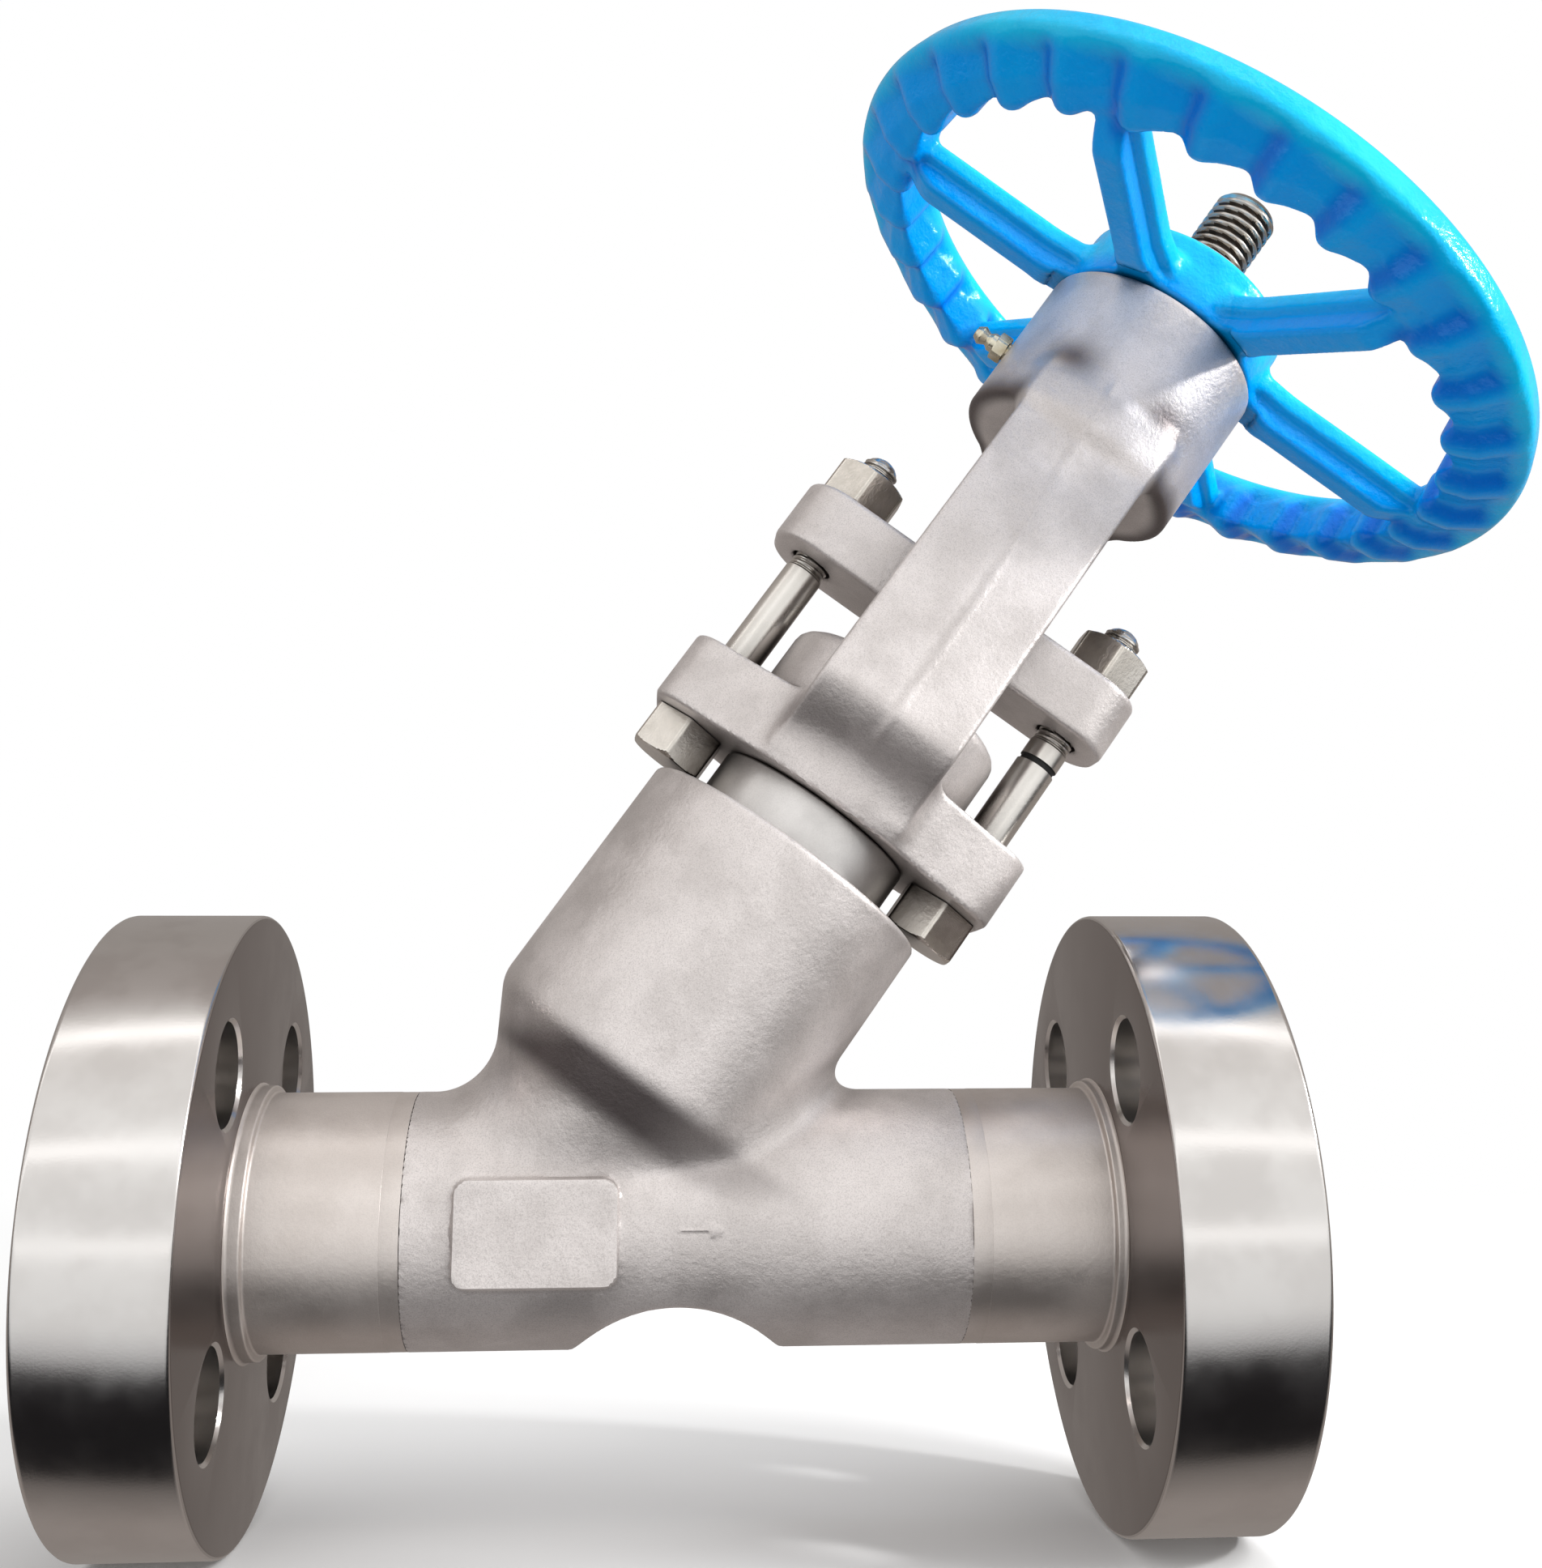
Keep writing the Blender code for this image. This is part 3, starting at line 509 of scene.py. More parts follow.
def close_material(graph, colour, metallic, roughness, normal, **settings):
    """Adds the shader and the output. settings are more of the shader's own inputs."""
    shader = graph.node("ShaderNodeBsdfPrincipled")
    graph.put(shader.inputs["Base Color"], colour)
    graph.put(shader.inputs["Metallic"], metallic)
    graph.put(shader.inputs["Roughness"], roughness)
    graph.put(shader.inputs["Normal"], normal)
    for key, value in settings.items():
        shader.inputs[key.replace("_", " ").title().replace("Ior", "IOR")].default_value = value
    output = graph.node("ShaderNodeOutputMaterial")
    graph.tree.links.new(shader.outputs[0], output.inputs["Surface"])


def edge_wear(graph):
    """1 on exposed edges, 0 elsewhere."""
    pointiness = graph.node("ShaderNodeNewGeometry").outputs["Pointiness"]
    return graph.between(pointiness, 0.52, 0.62)


def shaded_corners(graph, colour, reach, deepest):
    """Painted shade: darkens a colour in corners, where ambient occlusion finds them."""
    node = graph.node("ShaderNodeAmbientOcclusion", {"Distance": reach}, samples=5)
    openness = graph.between(node.outputs["AO"], 0.15, 0.85)
    corner_shade = graph.mix(1.0, colour, (deepest, deepest * 0.93, deepest * 0.90), "MULTIPLY")
    return graph.mix(openness, corner_shade, colour)


GRIT = (0.20, 0.17, 0.16)
RUBBED = (0.95, 0.93, 0.91)
# Colour of the painted shadow under the neck and the painted shade on the yoke.
PAINTED_SHADE_COLOUR = (0.10, 0.08, 0.08)
# Painted shade colour of the wheel's underside.
PAINT_UNDERSIDE_SHADE = (0.0, 0.26, 1.0)
# Painted shade colour of each grip's shaded side.
PAINT_GRIP_SHADE = (0.0, 0.12, 0.70)
PAINT_GLINT = (0.45, 0.85, 1.0, 1.0)


def blasted_steel(name, colour, dark, roughness, grain, metallic):
    """Bead-blasted forging: fine grain, soft stains, edges rubbed a little brighter, and painted
    shade where the mesh stores it and in corners.
    """
    material, graph = new_material(name)
    where = graph.coordinates()
    fine = graph.noise(where, 2900, 2.0, 0.6)
    pebble = graph.noise(where, 650, 3.0, 0.6)
    cloud = graph.noise(where, 45, 4.0, 0.6)
    tone = graph.mix(graph.between(cloud, 0.35, 0.65), dark, colour)
    tone = graph.mix(graph.between(fine, 0.4, 0.75, 0.0, 0.30 * grain), tone, GRIT)
    tone = graph.mix(graph.math("MULTIPLY", edge_wear(graph), 0.5), tone, RUBBED)
    # Painted shadow: darkens the colour where the mesh's stored shade mask is set.
    tone = graph.mix(graph.math("MULTIPLY", graph.attribute("painted_shade"), 0.9), tone, PAINTED_SHADE_COLOUR)
    tone = shaded_corners(graph, tone, 0.018, 0.22)
    rough = graph.between(cloud, 0.3, 0.7, roughness - 0.05, roughness + 0.05)
    normal = graph.bump(pebble, 0.00026 * grain, 0.6)
    normal = graph.bump(fine, 0.00007 * grain, 0.6, normal)
    close_material(graph, tone, metallic, rough, normal)
    return material


def turned_steel(name, colour, dark, roughness, face_shade=None):
    """Machined steel: fine marks round the local Z axis, faint speckle and smears.

    The last argument, if given, is a painted shade: the darker colour given to the faces that look
    along the axis.
    """
    material, graph = new_material(name)
    where = graph.coordinates()
    x, y, z = graph.node("ShaderNodeSeparateXYZ", {"Vector": where}).outputs
    squares = graph.math("MULTIPLY", x, x), graph.math("MULTIPLY", y, y)
    radius = graph.math("SQRT", graph.math("ADD", *squares))
    angle = graph.math("MULTIPLY", graph.math("ARCTAN2", y, x), 0.0006)
    lay = graph.node("ShaderNodeCombineXYZ", {"X": radius, "Y": angle, "Z": z}).outputs[0]
    marks = graph.noise(lay, 3800, 2.0, 0.7)
    smear = graph.noise(where, 60, 3.0, 0.55)
    fine = graph.noise(where, 1500, 2.0, 0.6)
    tone = graph.mix(graph.between(smear, 0.35, 0.65), dark, colour)
    if face_shade is not None:
        normal = graph.node("ShaderNodeNewGeometry").outputs["True Normal"]
        local = graph.node("ShaderNodeVectorTransform", {"Vector": normal}, vector_type="NORMAL",
                           convert_from="WORLD", convert_to="OBJECT").outputs[0]
        along = graph.node("ShaderNodeSeparateXYZ", {"Vector": local}).outputs[2]
        facing = graph.math("ABSOLUTE", along)
        # Painted shade: faces that look along the axis take the darker colour.
        tone = graph.mix(graph.between(facing, 0.75, 0.97), tone, face_shade)
    rough = graph.between(smear, 0.3, 0.7, roughness * 0.85, roughness * 1.2)
    normal = graph.bump(marks, 0.00002, 0.5)
    normal = graph.bump(fine, 0.00002, 0.4, normal)
    close_material(graph, tone, 1.0, rough, normal)
    return material


def cast_paint(name, colour, deep, roughness):
    """Thick glossy paint over a rough casting: orange peel, lumps, and painted shade on the
    underside, on one side of each grip and in corners.
    """
    material, graph = new_material(name)
    where = graph.coordinates()
    peel = graph.noise(where, 1100, 3.0, 0.6)
    lumps = graph.noise(where, 160, 3.0, 0.5)
    cloud = graph.noise(where, 30, 3.0, 0.5)
    tone = graph.mix(graph.between(cloud, 0.3, 0.7), deep, colour)
    # Painted shade: the wheel's underside takes a darker blue.
    tone = graph.mix(graph.math("MULTIPLY", graph.attribute("under"), 0.6), tone, PAINT_UNDERSIDE_SHADE)
    # Painted shade: one side of each grip takes a darker blue.
    tone = graph.mix(graph.math("MULTIPLY", graph.attribute("painted_grip_shade"), 0.75), tone, PAINT_GRIP_SHADE)
    tone = shaded_corners(graph, tone, 0.012, 0.35)
    normal = graph.bump(lumps, 0.0011, 0.6)
    normal = graph.bump(peel, 0.00016, 0.7, normal)
    rough = graph.between(peel, 0.3, 0.7, roughness * 0.8, roughness * 1.3)
    close_material(graph, tone, 0.0, rough, normal, specular_ior_level=0.6,
                   specular_tint=PAINT_GLINT)
    return material


def plain_grain(name, colour, dark, metallic, roughness):
    """A simple metal or packing with mottled colour and fine grain."""
    material, graph = new_material(name)
    where = graph.coordinates()
    fine = graph.noise(where, 900, 3.0, 0.6)
    cloud = graph.noise(where, 120, 3.0, 0.5)
    tone = graph.mix(graph.between(cloud, 0.35, 0.65), dark, colour)
    rough = graph.between(fine, 0.3, 0.7, roughness * 0.85, roughness * 1.15)
    close_material(graph, tone, metallic, rough, graph.bump(fine, 0.00008, 0.5))
    return material


FORGED = blasted_steel("forged_blasted", (0.83, 0.78, 0.76), (0.68, 0.635, 0.615),
                       0.44, 1.0, 0.65)
BONNET_STEEL = blasted_steel("bonnet_blasted", (0.92, 0.90, 0.88), (0.78, 0.76, 0.74),
                             0.34, 0.3, 0.8)
BOLT_STEEL = blasted_steel("bolt_satin", (0.80, 0.77, 0.72), (0.70, 0.67, 0.62), 0.28, 0.2, 1.0)
# The flange's faces that look along the pipe get a painted shade.
FLANGE_STEEL = turned_steel("flange_turned", (0.74, 0.72, 0.70), (0.68, 0.655, 0.635), 0.19,
                            face_shade=(0.25, 0.22, 0.21))
STUB_STEEL = blasted_steel("stub_satin", (0.79, 0.73, 0.69), (0.69, 0.63, 0.59), 0.40, 0.35, 0.8)
BRIGHT = turned_steel("bright_turned", (0.78, 0.76, 0.74), (0.66, 0.64, 0.62), 0.22)
HEX_STEEL = blasted_steel("hex_steel", (0.84, 0.80, 0.74), (0.66, 0.62, 0.56), 0.22, 0.4, 1.0)
STEM_STEEL = turned_steel("stem_turned", (0.62, 0.60, 0.57), (0.40, 0.38, 0.35), 0.28)
GROOVE = plain_grain("thread_groove_grease", (0.09, 0.055, 0.035), (0.04, 0.028, 0.02), 0.4, 0.4)
SOOT = plain_grain("groove_soot", (0.02, 0.02, 0.02), (0.012, 0.012, 0.012), 0.0, 0.6)
PAINT = cast_paint("blue_enamel", (0.0, 0.64, 1.0), (0.0, 0.53, 1.0), 0.17)
BRONZE = plain_grain("bronze_turned", (0.60, 0.40, 0.18), (0.46, 0.30, 0.13), 1.0, 0.35)
BRASS = plain_grain("nipple_plating", (0.78, 0.74, 0.60), (0.50, 0.42, 0.26), 1.0, 0.3)
HARD = plain_grain("hard_facing_ground", (0.58, 0.58, 0.60), (0.50, 0.50, 0.52), 1.0, 0.22)
GRAPHITE = plain_grain("graphite_packing", (0.055, 0.055, 0.06), (0.035, 0.035, 0.04), 0.0, 0.6)


# ---------------------------------------------------------------- pipe run


def build_flange(node, weld, direction):
    """A flange with its neck, and the weld that joins it to the body.

    direction is 1 for the inlet, whose face is at the pipe frame's origin, and -1 for the
    outlet, whose profile runs the other way.
    """
    low, high = extent(node, PIPE)
    face = low[2] if direction > 0 else high[2]
    outer = high[1]
    length = high[2] - low[2]
    back = FLANGE_BACK
    boss = 3.9 if direction > 0 else 2.6
    side = [
        (RAISED_FACE_RADIUS, 0, 0.5),
        (RAISED_FACE_RADIUS, RAISED_FACE_HEIGHT, 1.0),
        (outer, RAISED_FACE_HEIGHT, 1.6),
        (outer, back, 1.3),
        (FLANGE_NECK_RADIUS, back, 1.2),
        (FLANGE_NECK_RADIUS, back + boss, 0.5),
        (PIPE_RADIUS, back + boss + 0.3, 0.6),
        (PIPE_RADIUS, length, 0.1),
        (BORE_RADIUS, length, 0.1),
        (BORE_RADIUS, 0, 0.5),
    ]
    profile = [(r, face + direction * h, size) for r, h, size in side]
    mesh = turned(node + "_mesh", profile, steps=256)
    hole = [(0, 4), (15.2, 4), (STUD_HOLE_RADIUS, 7.4), (STUD_HOLE_RADIUS, back - 0.9),
            (14.9, back + 1), (0, back + 1)]
    hole = [(r, face + direction * h) for r, h in hole]
    cutters = []
    for i in range(4):
        angle = math.radians(45 + 90 * i)
        reach = STUD_CIRCLE_RADIUS * MM
        at = Matrix.Translation((reach * math.cos(angle), reach * math.sin(angle), 0))
        cutters.append((swept("hole", hole, 72, closed=False), at))
    place(node + "_detail", with_cuts(mesh, cutters), PIPE, "valve_body", [node],
          FLANGE_STEEL, sharp=30,
          second=(STUB_STEEL, lambda r, h: r < FLANGE_NECK_RADIUS + 1.1
                  and direction * (h - face) > back + 0.1))
    low, high = extent(weld, PIPE)
    mesh = turned(weld + "_mesh", [
        (PIPE_RADIUS - 0.05, low[2] - 0.6, 0.05),
        (PIPE_RADIUS - 0.05, high[2] + 0.6, 0.05),
        (BORE_RADIUS, high[2] + 0.2, 0.1),
        (BORE_RADIUS, low[2] - 0.2, 0.1),
    ])
    place(weld + "_detail", mesh, PIPE, "valve_body", [weld], STUB_STEEL)


def stem_coordinates(x, z):
    """A world place in the stem frame: across the stem and up it."""
    along_x = x - CROSSING
    across = along_x * math.cos(LEAN) - z * math.sin(LEAN)
    up = along_x * math.sin(LEAN) + z * math.cos(LEAN)
    return across, up


def body_field(x, y, z):
    """The forged body: pipe run, neck, pad, flow arrow and relief, less its passages."""
    p, s = stem_coordinates(x, z)
    r = np.hypot(p, y)
    pipe = np.hypot(y, z) - PIPE_RADIUS
    shifted = np.hypot(p - 0.5, y)
    taper = ((shifted - NECK_RADIUS) - 0.61 * (s - SHOULDER)) / math.hypot(1, 0.61)
    neck = eased(shifted - NECK_RADIUS, taper, 1.8)
    neck = overlap(neck, slab(s, 10, NECK_TOP), 1.6)
    crotch = (15.0 - 6.0 * smooth(p, -15, 35)) * (0.3 + 0.7 * smooth(z, 8, 28))
    solid = union(pipe, neck, crotch)
    plate = oblong(x - 117.2, z + 0.8, 20.6, 13.2, 4.0)
    pad = overlap(plate, -y - 34.3, 0.7)
    pad = overlap(pad, y, 0)
    solid = union(solid, pad, 0.8)
    shaft = overlap(np.abs(z + 0.4) - 0.45, slab(x, 152, 161), 0)
    head = overlap(np.abs(z + 0.4) - 0.5 * (165 - x), 160.5 - x, 0)
    arrow = overlap(np.minimum(shaft, head), slab(np.hypot(y, z), 30, 33.3), 0.15)
    solid = np.minimum(solid, overlap(arrow, y, 0))
    relief = np.hypot(x - 152.7, z + 19.7 + 34.3) - 34.3
    solid = carve(solid, relief, 0.8)
    solid = overlap(solid, slab(x, BODY_LOW[0], BODY_HIGH[0]), 0.2)
    below = 12.0
    turn = (CROSSING - below * math.sin(LEAN), 0, -below * math.cos(LEAN))
    outlet = (CROSSING + 19, 0, 0)
    rooms = [
        overlap(r - 30.3, 83 - s, 0),
        overlap(r - 22, 4.3 - s, 0),
        overlap(r - 17.3, -6.3 - s, 0),
        capsule(x, y, z, (CROSSING, 0, 0), turn, BORE_RADIUS),
        capsule(x, y, z, (60, 0, 2.8), turn, BORE_RADIUS),
        capsule(x, y, z, outlet, (250, 0, 0), BORE_RADIUS),
    ]
    return without(solid, rooms)


def body_painted_shadow(x, y, z):
    """Painted shadow under the neck's shoulder."""
    p, s = stem_coordinates(x, z)
    r = np.hypot(p, y)
    band = (1 - smooth(s, SHOULDER - 3, SHOULDER + 2)) * smooth(s, 31, 38) * smooth(r, 31, 36)
    return band * (1 - 0.6 * smooth(p, 5, 36)) * (1 - smooth(z, 44, 56)) * smooth(z, 4, 12)


def build_body():
    mesh = mesh_from_field("body_mesh", body_field, BODY_LOW, BODY_HIGH, 1.0)
    # Paints the shadow under the neck's shoulder into the colour.
    mark(mesh, "painted_shade", body_painted_shadow)
    place("body_detail", mesh, WORLD, "valve_body", ["body"], FORGED)


# ---------------------------------------------------------------- bonnet, yoke and gland


def build_bonnet():
    """The bonnet, the lock nut on its neck and the gland in its bore."""
    bottom, top = heights("bonnet")
    mesh = turned("bonnet_mesh", [
        (BONNET_NECK_RADIUS, top, 1.0), (BONNET_NECK_RADIUS, 134.0, 0), (30, 134.0, 0.8),
        (30, bottom, 0.3), (15.3, bottom, 0.3), (15.3, 92, 0.3), (STEM_BORE_RADIUS, 92, 0.2),
        (STEM_BORE_RADIUS, 128.3, 0.2), (16.3, 128.3, 0.2), (16.3, top, 0.6),
    ])
    place("bonnet_detail", mesh, STEM, "valve_body", ["bonnet"], BONNET_STEEL)
    bottom, top = heights("yoke_lock_nut")
    mesh = turned("lock_nut_mesh", [
        (34, top, 4.0), (34, bottom + 0.2, 1.6), (BONNET_NECK_RADIUS + 0.3, bottom, 0.4),
        (BONNET_NECK_RADIUS + 0.3, top, 1.2),
    ])
    place("yoke_lock_nut_detail", mesh, STEM, "valve_body", ["yoke_lock_nut"], FORGED)
    bottom, top = heights("gland")
    mesh = turned("gland_mesh", [
        (20, top, 0.6), (20, 187.5, 0.6), (16, 187.5, 0.3), (16, bottom, 0.4),
        (STEM_BORE_RADIUS, bottom, 0.3), (STEM_BORE_RADIUS, top, 0.5),
    ])
    place("gland_detail", mesh, STEM, "valve_body", ["gland"], BRIGHT)


def leg_face(p, s):
    """How far out the leg's outer face is: two facets that meet in a slanting ridge."""
    rise = 33.0 + 13.0 * smooth(s, 139, 163)
    rise = rise - 15.0 * np.clip((s - 160) / 102, 0, 1.4)
    off = p - 1.9 + 3.4 * smooth(s, 195, 280)
    crown = (1.5 + 4.0 * smooth(s, 245, 278)) * (1 - np.abs(off) / 24)
    seam = 0.28 * np.exp(-((off / 0.9) ** 2)) - 0.25 * np.exp(-(((off + 2.4) / 1.2) ** 2))
    return rise + crown + seam * smooth(s, 150, 156) * (1 - smooth(s, 296, 304))


def yoke_field(p, y, s):
    """The yoke: base with two lobes, two legs and the hub, less its bores."""
    r = np.hypot(p, y)
    side = np.abs(y)
    lobes = oblong(p, y, BASE_HALF_LENGTH, 20.0, 10.0)
    plan = union(lobes, r - 33.0, 26.0)
    base = overlap(plan, slab(s, BASE_BOTTOM, BASE_TOP), 1.2)
    hub = overlap(r - HUB_RADIUS, slab(s, HUB_BOTTOM, HUB_TOP), 1.4)
    recess = overlap(leg_face(p, s) - side, s - 281, 7.0)
    hub = carve(hub, overlap(recess, slab(p, -22.3, 23.0)), 1.0)
    outer = (side - leg_face(p, s)) * 0.985
    thick = 12.0 + 3.0 * (1 - smooth(s, 150, 175))
    inner = (leg_face(0 * p, s) - thick - side) * 0.985
    leg = overlap(overlap(outer, inner, 1.5), slab(p, -20.8, 21.6), 1.3)
    leg = overlap(leg, slab(s, BASE_BOTTOM + 3, 276.0), 3.0)
    solid = union(base, leg, 5.0)
    solid = union(solid, hub, 6.0)
    solid = np.maximum(solid, slab(s, BASE_BOTTOM, HUB_TOP))
    bolt = np.hypot(np.abs(p) - BOLT_OFFSET, y)
    rooms = [
        overlap(r - (BONNET_NECK_RADIUS + 0.3), s - 200, 0),  # over the bonnet's neck
        overlap(r - 34.6, slab(s, BASE_TOP, 178.0), 0),  # round the lock nut
        overlap(r - (SLEEVE_RADIUS + 0.5), 250 - s, 0),  # round the sleeve
        overlap(r - 25.0, 275.5 - s, 0),  # round the sleeve's collar and bearings
        overlap(bolt - BOLT_HOLE_RADIUS, s - 200, 0),
        overlap(bolt - 10.5, slab(s, BASE_TOP - 0.4, BASE_TOP + 9), 0),  # spot faces
        overlap(np.hypot(y, s - NIPPLE_HEIGHT) - 3.3, p + 20, 0),
        overlap(np.hypot(p, s - SET_SCREW_HEIGHT) - 3.3, 20 - y, 0),
    ]
    return without(solid, rooms)


def yoke_painted_shade(p, y, s):
    """Painted shade where the legs meet the base's belly and the hub."""
    foot = np.exp(-(((s - 151 - 0.12 * p) / 6.5) ** 2)) * smooth(np.abs(y), 28, 33)
    corner = np.exp(-(((np.abs(p + 0.5) - 16) / 7.0) ** 2) - ((s - 280) / 5.5) ** 2)
    corner = corner * smooth(np.abs(y), 22, 26)
    rim = (1 - smooth(s, HUB_BOTTOM, HUB_BOTTOM + 9)) * smooth(np.hypot(p, y), 28, 33)
    rim = rim * smooth(s, 255, 262) * smooth(np.abs(p), 21, 24)
    return np.maximum(np.maximum(0.55 * foot, corner), rim)


def build_yoke():
    mesh = mesh_from_field("yoke_mesh", yoke_field, YOKE_LOW, YOKE_HIGH, 0.9)
    # Paints shade into the colour where the legs meet the base and the hub.
    mark(mesh, "painted_shade", yoke_painted_shade)
    place("yoke_detail", mesh, STEM, "valve_body", ["yoke"], FORGED)


def gland_flange_field(p, y, s):
    """The gland's plate, less two bolt holes and the stem's hole."""
    plan = oblong(p, y, float(GLAND_HIGH[0]), 16.5, 13.0)
    plate = overlap(plan, slab(s, float(GLAND_LOW[2]), float(GLAND_HIGH[2])), 1.6)
    bolt = np.hypot(np.abs(p) - BOLT_OFFSET, y)
    return without(plate, [bolt - BOLT_HOLE_RADIUS, np.hypot(p, y) - 11.5])


def build_gland_flange():
    mesh = mesh_from_field("gland_flange_mesh", gland_flange_field, GLAND_LOW, GLAND_HIGH, 0.7)
    place("gland_flange_detail", mesh, STEM, "valve_body", ["gland_flange"], FORGED)


def build_gland_bolts():
    """Two bolts with their heads and nuts. Only the right one has a dark ring on its shank."""
    for side, name in ((-1, "left"), (1, "right")):
        axis = STEM @ Matrix.Translation((side * BOLT_OFFSET * MM, 0, 0))
        bottom, top = heights("gland_bolt_" + name)
        thread = thread_rows(5.6, 0.55, 1.5, 190.5, top - 3.2, 48, 6)
        rows = [(0.0, bottom + 4), (6.0, bottom + 4)]
        if side > 0:
            rows += [(6.0, RING_BOTTOM), (5.4, RING_BOTTOM + 0.4), (5.4, RING_TOP - 0.3),
                     (5.9, RING_TOP)]
        rows += [(5.9, 189.8), (5.6, 190.3)]
        rows += thread
        rows += [(5.2, top - 3.0), (4.6, top - 2.0), (3.6, top - 1.1), (2.2, top - 0.4),
                 (0.0, top - 0.05)]
        mesh = swept(f"bolt_{name}_mesh", rows, 48, closed=False)
        place(f"gland_bolt_{name}_detail", mesh, axis, "valve_body",
              ["gland_bolt_" + name], BOLT_STEEL, sharp=30,
              second=(SOOT, lambda r, h: RING_BOTTOM + 0.1 < h < RING_TOP - 0.1 and r < 5.95))
        head = hexagon(f"head_{name}_mesh", BOLT_FLATS, bottom, 134.0, 0, chamfer_top=False)
        place(f"gland_bolt_head_{name}_detail", head, axis, "valve_body", [], HEX_STEEL,
              sharp=25)
        low, high = heights("gland_nut_" + name)
        nut = hexagon(f"nut_{name}_mesh", BOLT_FLATS, low, high, 5.75)
        place(f"gland_nut_{name}_detail", nut, axis, "valve_body", ["gland_nut_" + name],
              HEX_STEEL, sharp=25)


# ---------------------------------------------------------------- hub, wheel and stem


def finger_grips(p, y, s):
    """The phase of the rim's grips, 0 in a valley, and how far a point lies under the rim."""
    r = np.hypot(p, y)
    phase = (np.arctan2(y, p) - WHEEL_PHASE) * FLUTES
    section = np.arctan2(RIM_CENTRE[1] - s, r - RIM_CENTRE[0]) % (2 * np.pi)
    under = smooth(section, math.radians(8), math.radians(40))
    under = under * (1 - smooth(section, math.radians(190), math.radians(230)))
    return phase, under


def grip_shade_mask(p, y, s):
    """The side of each grip that gets painted shade."""
    phase, under = finger_grips(p, y, s)
    return np.maximum(np.cos(phase - 1.0), 0) ** 2 * under * smooth(np.hypot(p, y), 86, 92)


def underside_shade_mask(p, y, s):
    """How deep in the wheel's underside a point is, on the rim, the spokes and the hub: where its
    painted shade goes.
    """
    r = np.hypot(p, y)
    inner = 1 - smooth(r, 86, 92)
    return (1 - inner) * finger_grips(p, y, s)[1] + inner * (1 - smooth(s, 314, 322))


def handwheel_field(p, y, s):
    """The casting: fluted rim, six T-section spokes and the hub, less its bore and keyway."""
    r = np.hypot(p, y)
    phase, under = finger_grips(p, y, s)
    wave = 0.5 + 0.5 * np.cos(phase + 0.5 * (1 - np.cos(phase)))
    rim = polygon(r, s, RIM_CORE, 4.5) + 3.7 * wave**1.3 * under
    angle = phase / FLUTES
    sector = 2 * np.pi / SPOKES
    turn = (angle + sector / 2) % sector - sector / 2
    along, across = r * np.cos(turn), r * np.sin(turn)
    bottom = 313.0 - 2.8 * smooth(along, 30, 42) + 6.0 * smooth(along, 82, 97)
    wider = 2.0 * (1 - smooth(along, 30, 46))
    flange = overlap(np.abs(across) - 7.0 - wider, slab(s, 317.3, 323.5), 1.5)
    rib = overlap(np.abs(across) - 4.7 - wider, slab(s, bottom, 320.0), 1.8)
    spoke = union(flange, rib, 1.6)
    spoke = overlap(spoke, slab(along, 20, 97), 1)
    hub = overlap(r - 33.0, slab(s, 312, 332), 1.8)
    wheel = union(rim, spoke, 3.0)
    wheel = union(wheel, hub, 3.5)
    wheel = np.maximum(wheel, np.where(r < 38, 312.0 - s, -9.0))
    keyway = overlap(np.abs(p) - 3, slab(y, 0, 17), 0)
    return without(wheel, [r - (SLEEVE_RADIUS + 0.3), keyway])


def build_handwheel():
    """The wheel with its washer and nut, and the sleeve that it turns.
    """
    low, high = extent("handwheel", STEM)
    mesh = mesh_from_field("handwheel_mesh", handwheel_field, low - 1, high + 1, 1.0)
    # Stores the mask of the painted shade on each grip's shaded side.
    mark(mesh, "painted_grip_shade", grip_shade_mask)
    # Stores the mask of the painted shade on the wheel's underside.
    mark(mesh, "under", underside_shade_mask)
    mesh.transform(STEM)
    place("handwheel_detail", mesh, WORLD, "wheel_and_sleeve", ["handwheel"], PAINT,
          sharp=60)
    bottom, top = heights("handwheel_washer")
    mesh = turned("washer_mesh", [
        (28, top, 0.5), (28, bottom, 0.5), (WHEEL_NUT_BORE, bottom), (WHEEL_NUT_BORE, top),
    ])
    place("handwheel_washer_detail", mesh, STEM, "wheel_and_sleeve", ["handwheel_washer"], BRIGHT)
    bottom, top = heights("handwheel_nut")
    mesh = hexagon("wheel_nut_mesh", 31.9, bottom, top, WHEEL_NUT_BORE)
    place("handwheel_nut_detail", mesh, STEM, "wheel_and_sleeve", ["handwheel_nut"], HEX_STEEL,
          sharp=25)
    bottom, top = heights("yoke_sleeve")
    thread = thread_rows(SLEEVE_THREAD_RADIUS, 0.7, 1.5, 332.6, top - 0.8, 96, 8)
    rows = [(10.3, bottom), (SLEEVE_RADIUS, bottom), (SLEEVE_RADIUS, 284.0), (21.0, 284.0),
            (21.0, 291.0), (SLEEVE_RADIUS, 291.0), (SLEEVE_RADIUS, SLEEVE_SHOULDER),
            (SLEEVE_THREAD_RADIUS, SLEEVE_SHOULDER)]
    rows += thread + [(12.0, top), (10.9, top), (10.3, top - 0.8)]
    mesh = swept("sleeve_mesh", rows, 96)
    place("yoke_sleeve_detail", mesh, STEM, "wheel_and_sleeve", ["yoke_sleeve"], BRONZE)


